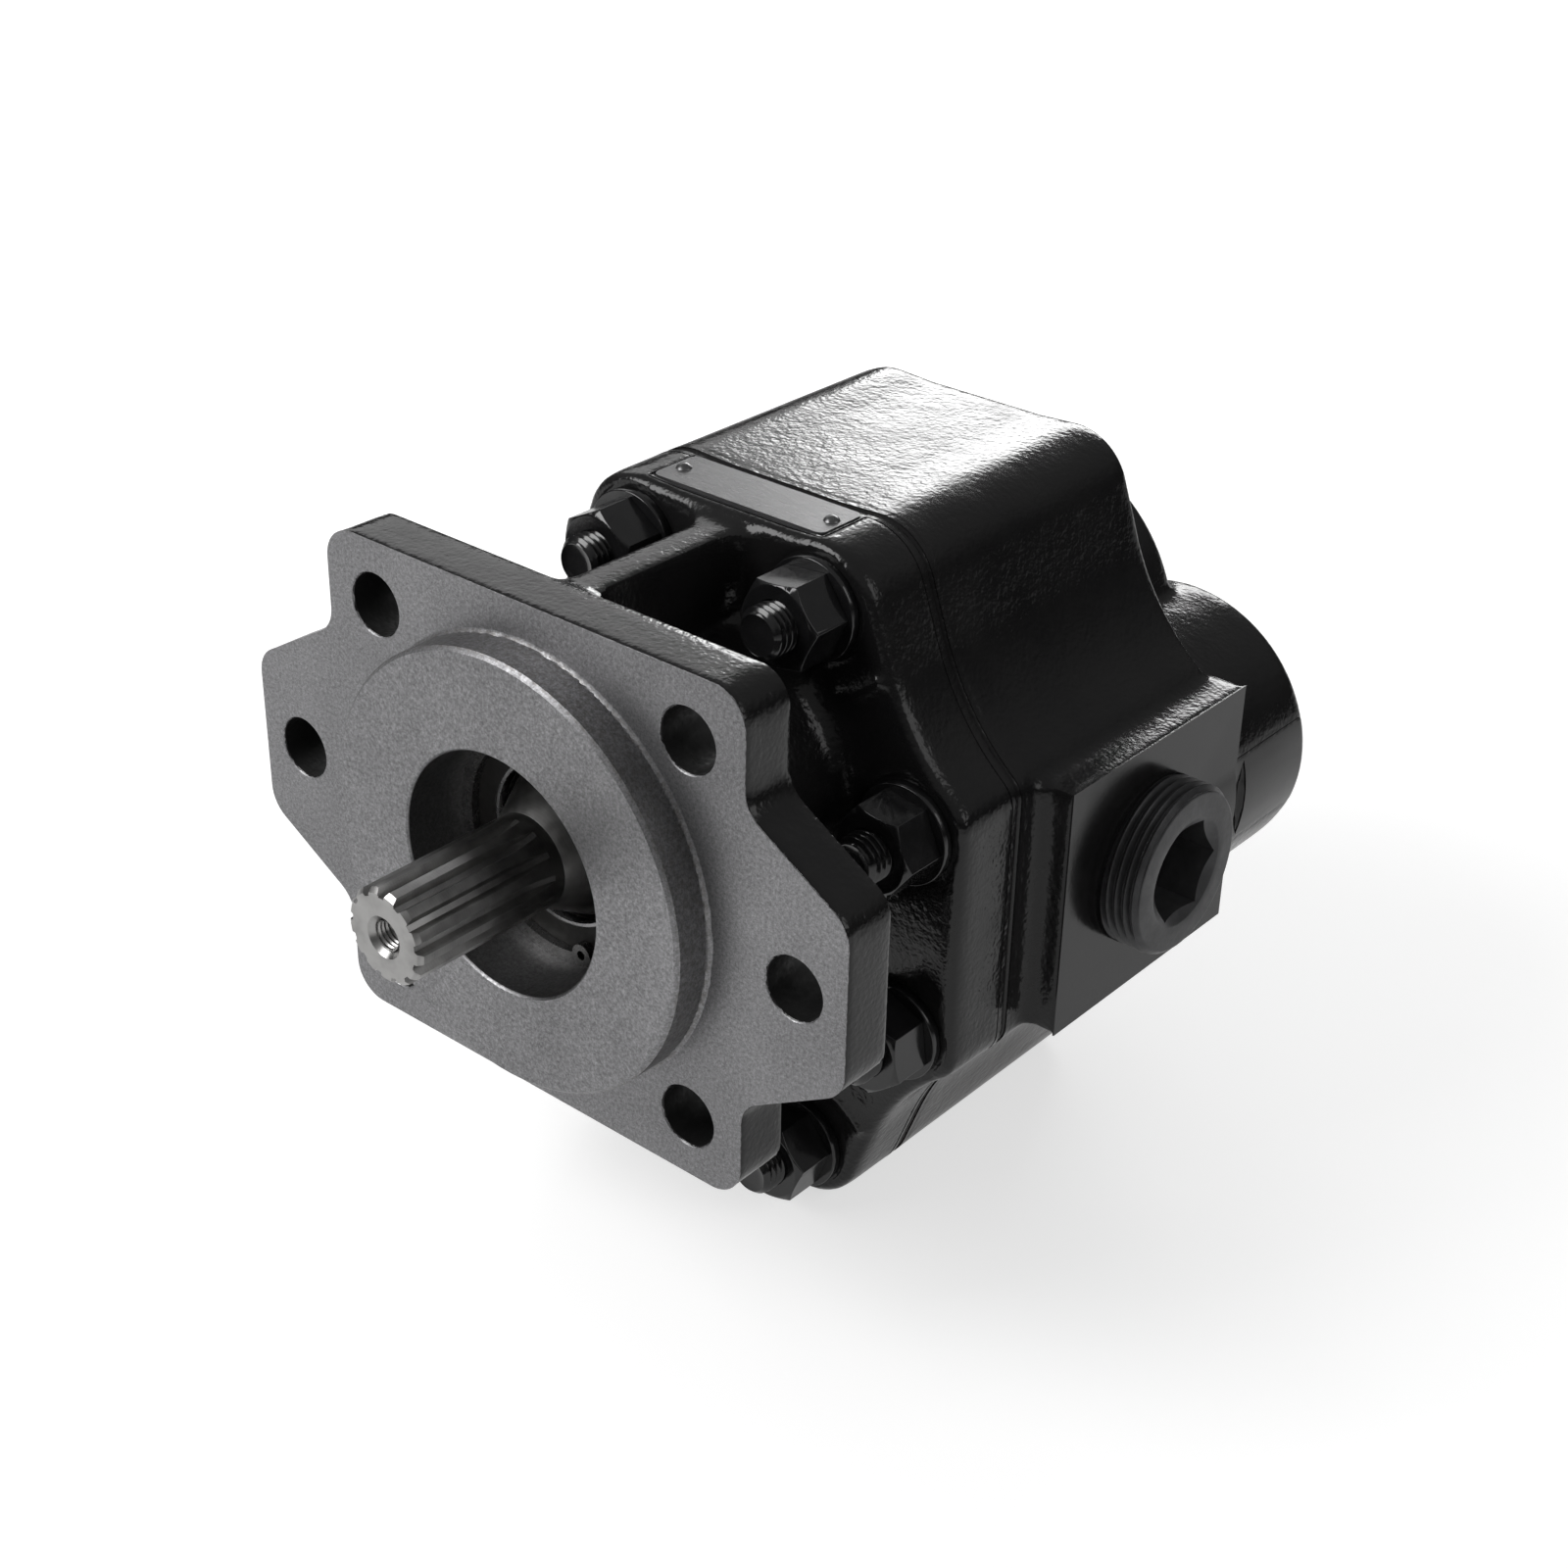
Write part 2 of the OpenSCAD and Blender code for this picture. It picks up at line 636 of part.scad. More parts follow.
module port_cuts() {
    chamfer = 1.2;
    relief = 3.5;
    passage_end = pad_face_x - 10;
    for (x = [-1, 1]) {
        translate([x * rear_port_x, 0, mid_z]) {
            round_y(port_y, boss_rear - 1, passage_d / 2);
            round_y(boss_rear - rear_thread_depth, boss_rear + 1, rear_thread_d / 2);
            round_y(boss_rear - chamfer, boss_rear, rear_thread_d / 2 + chamfer, rear_thread_d / 2);
        }
        translate([x * (pad_face_x + 1), port_y, mid_z]) rotate([0, -x * 90, 0])
            cylinder(r = plug_d / 2, h = plug_length - plug_proud + relief);
    }
    translate([-passage_end, port_y, mid_z]) rotate([0, 90, 0])
        cylinder(r = passage_d / 2, h = 2 * passage_end);
}

module pump_body() {
    color([0.07, 0.07, 0.08]) difference() {
        union() {
            translate([0, joint_y, 0]) mirror([0, 1, 0]) rotate([90, 0, 0]) cast_block(body_length);
            side_pads();
            rear_bosses();
            rear_hump();
        }
        prism_y(joint_y - 1, chamber_end) twin_circles(chamber_r);
        prism_y(joint_y - 1, joint_y + o_ring_d + 0.1) difference() {
            racetrack(o_ring_path_r + o_ring_d / 2 + 0.3);
            racetrack(o_ring_path_r - o_ring_d / 2 - 0.3);
        }
        at_studs() round_y(joint_y - 1, joint_y + stud_depth + 2, stud_r);
        at_dowels() round_y(joint_y - 1, joint_y + dowel_length / 2, dowel_d / 2);
        port_cuts();
        for (x = [0, 1]) mirror([x, 0, 0]) translate([pad_face_x, pad_rear - 1, pad_bottom_z])
            cube([boss_r, 1 + pad_step, pad_top_z - pad_bottom_z]);
    }
}

// Gears and shafts
flank_steps = 7;
root_share = 0.72;

// One tooth's points from its left root to its right root, centred on angle a
function tooth_points(a) = concat(
    [polar(root_r, a - 180 / gear_teeth * root_share)],
    [for (i = [0 : flank_steps]) let (r = base_r + (tip_r - base_r) * i / flank_steps)
        polar(r, a - half_tooth(r, base_r, pitch_r, gear_pressure_angle, gear_teeth))],
    [polar(tip_r, a)],
    [for (i = [flank_steps : -1 : 0]) let (r = base_r + (tip_r - base_r) * i / flank_steps)
        polar(r, a + half_tooth(r, base_r, pitch_r, gear_pressure_angle, gear_teeth))],
    [polar(root_r, a + 180 / gear_teeth * root_share)]);

module gear_wheel(first_angle) {
    polygon([for (i = [0 : gear_teeth - 1]) each tooth_points(first_angle + i * 360 / gear_teeth)]);
}

// Half width of a spline groove at radius r
function groove_half(r) = r * sin(180 / spline_teeth
    - half_tooth(r, spline_base_r, spline_pitch_r, spline_pressure_angle, spline_teeth));

// One spline groove with the round run-out that its cutter leaves
module spline_groove() {
    outside = spline_r + 0.6;
    radii = [spline_root_r, spline_pitch_r, spline_r, outside];
    section = concat([for (r = radii) [groove_half(r), r]],
        [for (i = [3 : -1 : 0]) [-groove_half(radii[i]), radii[i]]]);
    prism_y(-shaft_reach - 1, -spline_full_end) polygon(section);
    axis_r = spline_root_r + spline_cutter_r;
    translate([0, -spline_full_end, axis_r]) rotate([0, 90, 0]) rotate_extrude()
        polygon([for (p = section) [axis_r - p[1], p[0]]]);
}

// Outer form of the drive shaft, from the splined end to the rear journal
module drive_shaft_blank() {
    chamfer = 1;
    cone_start_r = spline_r + 0.35;
    rear_end = chamber_end - 3;
    turned_y() polygon([[0, -shaft_reach], [spline_r - chamfer, -shaft_reach],
        [spline_r, -shaft_reach + chamfer], [spline_r, -0.6], [cone_start_r, 0],
        [journal_r, shaft_cone_length], [journal_r, rear_end - 1], [journal_r - 1, rear_end],
        [0, rear_end]]);
}

spline_first_angle = 0;

module drive_gear_shaft() {
    color([0.62, 0.62, 0.63]) difference() {
        union() {
            drive_shaft_blank();
            prism_y(gear_front, gear_rear) gear_wheel(-90);
        }
        for (i = [0 : spline_teeth - 1]) rotate([0, spline_first_angle + i * 360 / spline_teeth, 0])
            spline_groove();
        round_y(-shaft_reach - 1, -shaft_reach + shaft_tap_depth, shaft_tap_d / 2);
        round_y(-shaft_reach, -shaft_reach + 1.4, shaft_tap_d / 2, shaft_tap_d / 2 + 1.4);
    }
}

module driven_gear_shaft() {
    front_end = joint_y + 3;
    rear_end = chamber_end - 3;
    color([0.6, 0.6, 0.61]) translate([0, 0, driven_z]) {
        turned_y() polygon([[0, front_end], [journal_r - 1, front_end], [journal_r, front_end + 1],
            [journal_r, rear_end - 1], [journal_r - 1, rear_end], [0, rear_end]]);
        prism_y(gear_front, gear_rear) gear_wheel(90 + 180 / gear_teeth);
    }
}

// Bearing blocks, bushes and pressure seals. Each is drawn at the front, and the rear one mirrors it.
module rear_copy() {
    translate([0, joint_y + chamber_end, 0]) mirror([0, 1, 0]) children();
}

relief_depth = 1.6;
relief_size = [13, 7];

module bearing_block() {
    difference() {
        prism_y(joint_y, joint_y + block_length) twin_circles(block_r);
        prism_y(joint_y - 1, joint_y + block_length + 1) twin_circles(bush_r);
        prism_y(joint_y - 1, joint_y + groove_depth) difference() {
            twin_circles(groove_outer_r);
            twin_circles(groove_inner_r);
        }
        for (side = [-1, 1]) translate([side * (relief_size[0] / 2 + 2.2), joint_y + block_length, mid_z])
            cube([relief_size[0], 2 * relief_depth, relief_size[1]], center = true);
    }
}

module bushes() {
    for (z = [0, driven_z]) translate([0, 0, z]) difference() {
        round_y(joint_y + 1, joint_y + block_length, bush_r);
        round_y(joint_y, joint_y + block_length + 1, journal_r + journal_gap);
    }
}

module pressure_seal() {
    prism_y(joint_y, joint_y + groove_depth - seal_gap) difference() {
        twin_circles(groove_outer_r - seal_gap);
        twin_circles(groove_split_r);
    }
}

module backup_ring() {
    prism_y(joint_y, joint_y + groove_depth - seal_gap) difference() {
        twin_circles(groove_split_r - seal_gap);
        twin_circles(groove_inner_r + seal_gap);
    }
}

module front_bearing_block() {
    color([0.72, 0.7, 0.62]) bearing_block();
}

module rear_bearing_block() {
    color([0.72, 0.7, 0.62]) rear_copy() bearing_block();
}

module front_bushes() {
    color([0.7, 0.5, 0.3]) bushes();
}

module rear_bushes() {
    color([0.7, 0.5, 0.3]) rear_copy() bushes();
}

module front_pressure_seal() {
    color([0.1, 0.1, 0.1]) pressure_seal();
}

module rear_pressure_seal() {
    color([0.1, 0.1, 0.1]) rear_copy() pressure_seal();
}

module front_backup_ring() {
    color([0.85, 0.84, 0.8]) backup_ring();
}

module rear_backup_ring() {
    color([0.85, 0.84, 0.8]) rear_copy() backup_ring();
}

// Shaft seal: a steel case moulded into rubber, with a garter spring behind the lip
case_outer_r = seat_r - 0.6;
case_inner_r = journal_r + 1.25;
lip_r = journal_r + lip_gap;

module seal_case_section() {
    polygon([[case_outer_r, seal_front + 1], [case_outer_r, seal_back - 1],
        [case_outer_r - 0.7, seal_back - 1], [case_outer_r - 0.7, seal_front + 2],
        [case_inner_r + 0.8, seal_front + 2], [case_inner_r + 0.8, seal_front + 3],
        [case_inner_r, seal_front + 3], [case_inner_r, seal_front + 0.2],
        [case_inner_r + 0.8, seal_front + 0.2], [case_inner_r + 0.8, seal_front + 1]]);
}

module shaft_seal_case() {
    color([0.75, 0.75, 0.76]) turned_y() seal_case_section();
}

module shaft_seal_lip() {
    color([0.09, 0.09, 0.09]) turned_y() difference() {
        polygon([[seat_r, seal_front], [seat_r, seal_back], [case_outer_r - 1.6, seal_back],
            [case_outer_r - 1.6, seal_front + 4], [lip_r + 4.4, seal_front + 3.6],
            [lip_r + 2.7, seal_front + 6], [lip_r + 2.7, seal_front + 9], [lip_r + 1.3, seal_front + 9.2],
            [lip_r, seal_front + 6.6], [lip_r + 0.9, seal_front + 3], [case_inner_r + 0.8, seal_front + 3],
            [case_inner_r + 0.8, seal_front]]);
        seal_case_section();
    }
}

module garter_spring() {
    wire_r = 0.7;
    color([0.7, 0.7, 0.7]) turned_y() translate([lip_r + 2.7 + wire_r, seal_front + 7.4]) circle(r = wire_r);
}

// Retaining ring with two drilled lugs at its gap
module retaining_ring() {
    lug_body_r = 2.6;
    lug_hole_r = 1.1;
    gap_start = ring_lug_angles[0] + 6;
    gap_end = ring_lug_angles[1] - 6;
    color([0.66, 0.66, 0.67]) prism_y(ring_front, ring_back) difference() {
        union() {
            difference() {
                circle(r = ring_groove_r - 0.2);
                circle(r = ring_inner_r);
                polygon([[0, 0], polar(2 * seat_r, gap_start), polar(2 * seat_r, gap_end)]);
            }
            for (a = ring_lug_angles) translate(polar(ring_lug_r, a)) circle(r = lug_body_r);
        }
        for (a = ring_lug_angles) translate(polar(ring_lug_r, a)) circle(r = lug_hole_r);
    }
}

// Sealing ring around the gear chamber, in a groove in the body's joint face
module joint_o_ring() {
    wire_r = o_ring_d / 2;
    centre_y = joint_y + 0.1 + wire_r;
    color([0.1, 0.1, 0.1]) {
        for (z = [0, 1]) translate([0, 0, (1 - z) * driven_z]) mirror([0, 0, z]) rotate([-90, 0, 0])
            rotate_extrude(angle = 180) translate([o_ring_path_r, centre_y]) circle(r = wire_r);
        for (x = [-1, 1]) translate([x * o_ring_path_r, centre_y, driven_z])
            cylinder(r = wire_r, h = shaft_centre_distance);
    }
}

// Studs, nuts, washers and dowels
module cover_studs() {
    point = 1.2;
    color([0.1, 0.1, 0.11]) at_studs() {
        round_y(stud_front + point, joint_y + stud_depth, stud_r);
        round_y(stud_front, stud_front + point, stud_r, stud_r - point);
    }
}

// A hexagon along Y, chamfered at its front corners
module hex_nut(front, rear, across_flats, bore_r) {
    corner_r = across_flats / 2 / cos(30);
    chamfer = corner_r - across_flats / 2;
    difference() {
        intersection() {
            prism_y(front, rear) circle(r = corner_r, $fn = 6);
            turned_y() polygon([[0, front], [across_flats / 2 - 0.3, front],
                [corner_r + 0.3, front + 0.62 * chamfer + 0.35], [corner_r + 0.3, rear], [0, rear]]);
        }
        round_y(front - 1, rear + 1, bore_r);
    }
}

nut_turns = [27, 46, 14, 53, 5.5, 54, 9, 38];

module stud_nuts() {
    color([0.08, 0.08, 0.09]) for (i = [0 : len(stud_places) - 1])
        translate([stud_places[i][0], 0, stud_places[i][1]]) rotate([0, -nut_turns[i], 0])
            hex_nut(nut_front, nut_rear, nut_hex, stud_r);
}

module stud_washers() {
    color([0.09, 0.09, 0.1]) at_studs() difference() {
        round_y(nut_rear, seat_y, washer_d / 2);
        round_y(nut_rear - 1, seat_y + 1, stud_r + 0.4);
    }
}

module dowel_pins() {
    color([0.6, 0.6, 0.62]) at_dowels() round_y(joint_y - dowel_length / 2, joint_y + dowel_length / 2,
        dowel_d / 2);
}

// Blank nameplate and its two drive rivets
module nameplate() {
    corner = 2;
    half_l = nameplate_length / 2;
    half_w = nameplate_width / 2;
    color([0.09, 0.09, 0.1]) translate([0, nameplate_y, nameplate_z]) difference() {
        linear_extrude(height = nameplate_thickness) rounded_outline(
            [[half_l, -half_w], [half_l, half_w], [-half_l, half_w], [-half_l, -half_w]],
            [corner, corner, corner, corner]);
        for (x = [-1, 1]) translate([x * rivet_half_span, 0, -1]) cylinder(r = rivet_r, h = 3);
    }
}

module nameplate_rivets() {
    head_r = 1.9;
    head_h = 1.1;
    ball_r = (head_r * head_r + head_h * head_h) / (2 * head_h);
    color([0.3, 0.3, 0.31]) for (x = [-1, 1]) translate([x * rivet_half_span, nameplate_y, nameplate_z]) {
        translate([0, 0, -rivet_depth]) cylinder(r = rivet_r, h = rivet_depth + nameplate_thickness + 0.2);
        translate([0, 0, nameplate_thickness]) intersection() {
            translate([0, 0, head_h - ball_r]) sphere(r = ball_r);
            cylinder(r = head_r + 1, h = head_h + 1);
        }
    }
}

// Side port plug: threaded body with a chamfered outer end and a socket for a hexagon key
module port_plug() {
    chamfer = 1.3;
    lead_in = 1.35;
    socket_r = plug_hex / 2 / cos(30);
    difference() {
        union() {
            cylinder(r = plug_d / 2, h = plug_length - chamfer);
            translate([0, 0, plug_length - chamfer])
                cylinder(r1 = plug_d / 2, r2 = plug_d / 2 - chamfer, h = chamfer);
        }
        translate([0, 0, plug_length - plug_hex_depth]) cylinder(r = socket_r, h = plug_length, $fn = 6);
        translate([0, 0, plug_length - chamfer])
            cylinder(r1 = socket_r - lead_in / 2, r2 = socket_r + lead_in / 2, h = lead_in);
    }
}

plug_start = pad_face_x + plug_proud - plug_length;

module right_port_plug() {
    color([0.16, 0.16, 0.17]) translate([plug_start, port_y, mid_z]) rotate([0, 90, 0]) port_plug();
}

module left_port_plug() {
    color([0.16, 0.16, 0.17]) translate([-plug_start, port_y, mid_z]) rotate([0, -90, 0]) port_plug();
}

front_cover();
pump_body();
drive_gear_shaft();
driven_gear_shaft();
front_bearing_block();
rear_bearing_block();
front_bushes();
rear_bushes();
shaft_seal_case();
shaft_seal_lip();
garter_spring();
retaining_ring();
joint_o_ring();
front_pressure_seal();
rear_pressure_seal();
front_backup_ring();
rear_backup_ring();
cover_studs();
stud_nuts();
stud_washers();
dowel_pins();
nameplate();
nameplate_rivets();
right_port_plug();
left_port_plug();
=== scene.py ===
import math

import bmesh
import bpy
import numpy as np
from mathutils import Matrix, Vector


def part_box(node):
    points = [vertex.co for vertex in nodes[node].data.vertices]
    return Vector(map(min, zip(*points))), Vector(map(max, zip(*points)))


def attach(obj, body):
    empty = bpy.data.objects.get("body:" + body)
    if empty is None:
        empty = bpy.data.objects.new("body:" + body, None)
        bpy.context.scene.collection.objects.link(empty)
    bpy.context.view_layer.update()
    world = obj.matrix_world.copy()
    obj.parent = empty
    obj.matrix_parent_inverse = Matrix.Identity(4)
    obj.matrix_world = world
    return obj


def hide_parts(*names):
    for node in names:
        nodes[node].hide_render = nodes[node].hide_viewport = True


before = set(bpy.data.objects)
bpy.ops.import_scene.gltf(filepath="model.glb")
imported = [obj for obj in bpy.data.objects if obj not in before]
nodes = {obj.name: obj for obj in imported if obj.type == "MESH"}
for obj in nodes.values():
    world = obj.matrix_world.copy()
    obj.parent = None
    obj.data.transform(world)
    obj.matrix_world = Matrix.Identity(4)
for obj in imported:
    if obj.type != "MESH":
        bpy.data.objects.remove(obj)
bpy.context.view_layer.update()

MM = 0.001

# Places and sizes on the pump, in millimetres, as the solids have them
MID_Z = -24.1
GEAR_CENTRES = 48.2
SQUARE_HOLE = 44.9
EAR_HOLE_X = 73.0
FLANGE_HOLES = [(SQUARE_HOLE, SQUARE_HOLE), (EAR_HOLE_X, 0.0)]
STUD_OFFSETS = [(26.3, 70.3), (53.5, 25.7)]
SIDE_PORT_Y = 124.55
REAR_PORT_X = 42.0

# Screw threads: distance between two turns, in millimetres
STUD_PITCH = 1.75
PIPE_PITCH = 2.309
TAP_PITCH = 1.0

# Points closer than this are one point, in metres
WELD = 1e-6


# Node helpers


class Graph:
    """The node tree of a material or a world, whose nodes are added one call at a time."""

    def __init__(self, owner, coordinates):
        owner.use_nodes = True
        self.tree = owner.node_tree
        self.tree.nodes.clear()
        self.place = self.add("TexCoord").outputs[coordinates]

    def add(self, kind):
        return self.tree.nodes.new("ShaderNode" + kind)

    def link(self, value, socket):
        if isinstance(value, bpy.types.NodeSocket):
            self.tree.links.new(value, socket)
        else:
            socket.default_value = value

    def math(self, op, *values):
        node = self.add("Math")
        node.operation = op
        for value, socket in zip(values, node.inputs):
            self.link(value, socket)
        return node.outputs[0]

    def below(self, value, millimetres):
        return self.math("LESS_THAN", value, millimetres * MM)

    def above(self, value, millimetres):
        return self.math("GREATER_THAN", value, millimetres * MM)

    def both(self, a, b):
        return self.math("MULTIPLY", a, b)

    def either(self, a, b):
        return self.math("MAXIMUM", a, b)

    def layers(self, *layers):
        """The sum of (value, weight) pairs."""
        total = None
        for value, weight in layers:
            term = self.math("MULTIPLY", value, weight)
            total = term if total is None else self.math("ADD", total, term)
        return total

    def distance(self, a, b):
        return self.math("SQRT", self.math("ADD", self.math("MULTIPLY", a, a), self.math("MULTIPLY", b, b)))

    def length(self, vector):
        node = self.add("VectorMath")
        node.operation = "LENGTH"
        self.link(vector, node.inputs[0])
        return node.outputs["Value"]

    def split(self, vector):
        node = self.add("SeparateXYZ")
        self.link(vector, node.inputs[0])
        return node.outputs

    def stretched(self, scale):
        node = self.add("Mapping")
        self.link(self.place, node.inputs["Vector"])
        self.link(scale, node.inputs["Scale"])
        return node.outputs[0]

    def noise(self, scale, detail=2.0, rough=0.5, distortion=0.0, vector=None):
        node = self.add("TexNoise")
        self.link(vector or self.place, node.inputs["Vector"])
        self.link(scale, node.inputs["Scale"])
        self.link(detail, node.inputs["Detail"])
        self.link(rough, node.inputs["Roughness"])
        self.link(distortion, node.inputs["Distortion"])
        return node.outputs["Fac"]

    def spots(self, scale):
        """The distance to the nearest of many scattered points."""
        node = self.add("TexVoronoi")
        self.link(self.place, node.inputs["Vector"])
        self.link(scale, node.inputs["Scale"])
        return node.outputs["Distance"]

    def spread(self, value, low, high, to_low=0.0, to_high=1.0, smooth=False):
        node = self.add("MapRange")
        node.interpolation_type = "SMOOTHSTEP" if smooth else "LINEAR"
        self.link(value, node.inputs["Value"])
        for socket, number in zip(("From Min", "From Max", "To Min", "To Max"), (low, high, to_low, to_high)):
            self.link(number, node.inputs[socket])
        return node.outputs[0]

    def ramp(self, value, stops):
        node = self.add("ValToRGB")
        self.link(value, node.inputs[0])
        for element, (place, colour) in zip(node.color_ramp.elements, (stops[0], stops[-1])):
            element.position = place
            element.color = (*colour, 1)
        for place, colour in stops[1:-1]:
            node.color_ramp.elements.new(place).color = (*colour, 1)
        return node.outputs[0]

    def mix(self, share, a, b):
        """A number between the numbers a and b."""
        return self.mixed("FLOAT", share, a, b)

    def tint(self, share, a, b):
        """A colour between the colour a and the fixed colour or colour node b."""
        return self.mixed("RGBA", share, a, (*b, 1) if isinstance(b, tuple) else b)

    def mixed(self, kind, share, a, b):
        node = self.add("Mix")
        node.data_type = kind
        sockets = [s for s in node.inputs if s.enabled]
        for value, socket in zip((share, a, b), sockets):
            self.link(value, socket)
        return next(s for s in node.outputs if s.enabled)

    def bump(self, height, distance):
        node = self.add("Bump")
        self.link(height, node.inputs["Height"])
        self.link(distance, node.inputs["Distance"])
        self.link(1.0, node.inputs["Strength"])
        return node.outputs[0]

    def rays(self):
        """Whether the camera itself looks, and whether a mirror or something clear does."""
        seen = self.add("LightPath").outputs
        return seen["Is Camera Ray"], self.either(seen["Is Glossy Ray"], seen["Is Transmission Ray"])


class Shader(Graph):
    """A material with one surface."""

    def __init__(self, name):
        self.material = bpy.data.materials.new(name)
        super().__init__(self.material, "Object")
        self.surface = self.add("BsdfPrincipled")
        self.link(self.surface.outputs[0], self.add("OutputMaterial").inputs["Surface"])

    def finish(self, colour, roughness, height, relief, metallic=0.0, specular=0.5):
        """Sets the surface and returns the material. A height of 1 stands relief millimetres high."""
        normal = self.bump(height, relief * MM)
        for name, value in (("Base Color", colour), ("Roughness", roughness), ("Metallic", metallic),
                            ("Specular IOR Level", specular), ("Normal", normal)):
            self.link(value, self.surface.inputs[name])
        return self.material


# Materials


# How high the cast texture stands, in millimetres
CAST_RELIEF = 0.22

# Where the look of the castings changes, in millimetres
BARE_BORE_R, BORE_WALL_R, BORE_END_Y = 29.2, 28.15, 27.5
BOLT_HOLE_R, BOLT_HOLE_START_Y, BOLT_HOLE_END_Y = 7.22, 0.4, 13.8
PILOT_SIDE_R = 50.4
MILLED_PAD_X, MILLED_PAD_BOTTOM_Z, MILLED_REAR_Y = 76.8, -57.5, 191.8
BROWN_FROM_Z, BROWN_TO_Z = -75, -108


def cast_texture(s):
    """Height of painted casting: the slow waves of the mould, sand grain, and the paint's orange peel."""
    waves = s.noise(90)
    pebbles = s.noise(330, detail=1.0, rough=0.45, distortion=0.4)
    grain = s.noise(800, detail=1.0)
    peel = s.noise(1300)
    pits = s.spread(s.spots(260), 0.05, 0.22, smooth=True)
    return s.layers((waves, 0.8), (pebbles, 0.35), (grain, 0.5), (peel, 0.12), (pits, 0.12))


def paint(s):
    """Colour and roughness of gloss black paint with faint dust and rubbed places."""
    dust = s.noise(38, detail=4.0, rough=0.6)
    colour = s.ramp(dust, [(0.3, (0.0075, 0.0075, 0.008)), (0.72, (0.0125, 0.012, 0.012))])
    rubbed = s.noise(70, detail=5.0, rough=0.62)
    return colour, s.spread(rubbed, 0.3, 0.75, 0.12, 0.26)


def machined(s, radius):
    """Colour, roughness and height of turned iron: fine open grain with a few darker flecks."""
    grain = s.noise(2600, detail=3.0, rough=0.7)
    flecks = s.noise(1150, detail=4.0, rough=0.66)
    clouds = s.math("SUBTRACT", s.noise(26, detail=3.0, rough=0.6), 0.5)
    rings = s.math("SINE", s.math("MULTIPLY", s.layers((radius, 1.0), (grain, 0.06 * MM)), 21000))
    tone = s.layers((grain, 0.5), (flecks, 0.5), (clouds, 0.22))
    colour = s.ramp(tone, [(0.33, (0.122, 0.121, 0.125)), (0.5, (0.235, 0.234, 0.24)),
                           (0.68, (0.39, 0.388, 0.397))])
    return colour, s.spread(flecks, 0.3, 0.7, 0.5, 0.36), s.layers((tone, 1.0), (rings, 0.05))


def make_cover_material():
    s = Shader("cast_cover_paint")
    x, y, z = s.split(s.place)
    radius = s.distance(x, z)
    paint_colour, paint_rough = paint(s)
    iron_colour, iron_rough, iron_height = machined(s, radius)

    # Everything in front of the milled flange face is bare, with a ragged edge where the paint stops, and
    # so is the bore of the shaft seal
    ragged = s.spread(s.noise(420, detail=3.0, rough=0.6), 0.3, 0.7, 0.04 * MM, 0.42 * MM)
    in_bore = s.both(s.below(radius, BARE_BORE_R), s.below(y, BORE_END_Y))
    bare = s.either(s.math("LESS_THAN", y, ragged), in_bore)

    # The six bolt holes are drilled through; inside, their walls are dull and not metallic, and their colour
    # is painted near black as painted shade
    across, up = s.math("ABSOLUTE", x), s.math("ABSOLUTE", z)
    holes = 0.0
    for hole_x, hole_z in FLANGE_HOLES:
        far = s.distance(s.math("SUBTRACT", across, hole_x * MM), s.math("SUBTRACT", up, hole_z * MM))
        holes = s.either(holes, s.below(far, BOLT_HOLE_R))
    holes = s.both(holes, s.both(s.above(y, BOLT_HOLE_START_Y), s.below(y, BOLT_HOLE_END_Y)))

    # The side of the pilot is a little rusty, and the wall of the bore is darkened as painted shade
    pilot_side = s.both(s.above(radius, PILOT_SIDE_R), s.below(y, -0.1))
    rust = s.both(pilot_side, s.spread(s.noise(900, detail=4.0, rough=0.7), 0.42, 0.62, smooth=True))
    iron_colour = s.tint(s.math("MULTIPLY", rust, 0.4), iron_colour, (0.10, 0.086, 0.072))
    # Painted shade: the iron of the bore's wall is tinted darker
    shaded_bore_wall = s.both(s.below(radius, BORE_WALL_R), s.below(y, BORE_END_Y))
    iron_colour = s.tint(s.math("MULTIPLY", shaded_bore_wall, 0.6), iron_colour, (0.045, 0.044, 0.043))

    colour = s.tint(bare, paint_colour, iron_colour)
    # Painted shade: the walls of the bolt holes are coloured near black
    colour = s.tint(holes, colour, (0.012, 0.012, 0.012))
    rough = s.mix(bare, paint_rough, iron_rough)
    rough = s.mix(holes, rough, s.spread(s.noise(800, detail=3.0), 0.3, 0.7, 0.35, 0.6))
    height = s.mix(bare, cast_texture(s), s.math("MULTIPLY", iron_height, 0.08))
    metal = s.both(bare, s.math("SUBTRACT", 1.0, holes))
    metallic = s.math("MULTIPLY", metal, 0.85)
    return s.finish(colour, rough, height, CAST_RELIEF, metallic=metallic, specular=0.36)


def make_body_material():
    s = Shader("cast_body_paint")
    x, y, z = s.split(s.place)
    colour, rough = paint(s)

    # The milled pads and the rear faces are flat under the paint, so only the orange peel shows there
    pads = s.both(s.above(s.math("ABSOLUTE", x), MILLED_PAD_X), s.above(z, MILLED_PAD_BOTTOM_Z))
    flat = s.either(pads, s.above(y, MILLED_REAR_Y))
    peel = s.layers((s.noise(1000), 0.06), (s.noise(60), 0.12))
    height = s.mix(flat, cast_texture(s), peel)

    # Towards the bottom the paint looks slightly brown
    low = s.spread(z, BROWN_FROM_Z * MM, BROWN_TO_Z * MM, smooth=True)
    colour = s.tint(s.math("MULTIPLY", low, 0.5), colour, (0.03, 0.018, 0.016))
    return s.finish(colour, rough, height, CAST_RELIEF, specular=s.mix(flat, 0.32, 0.38))


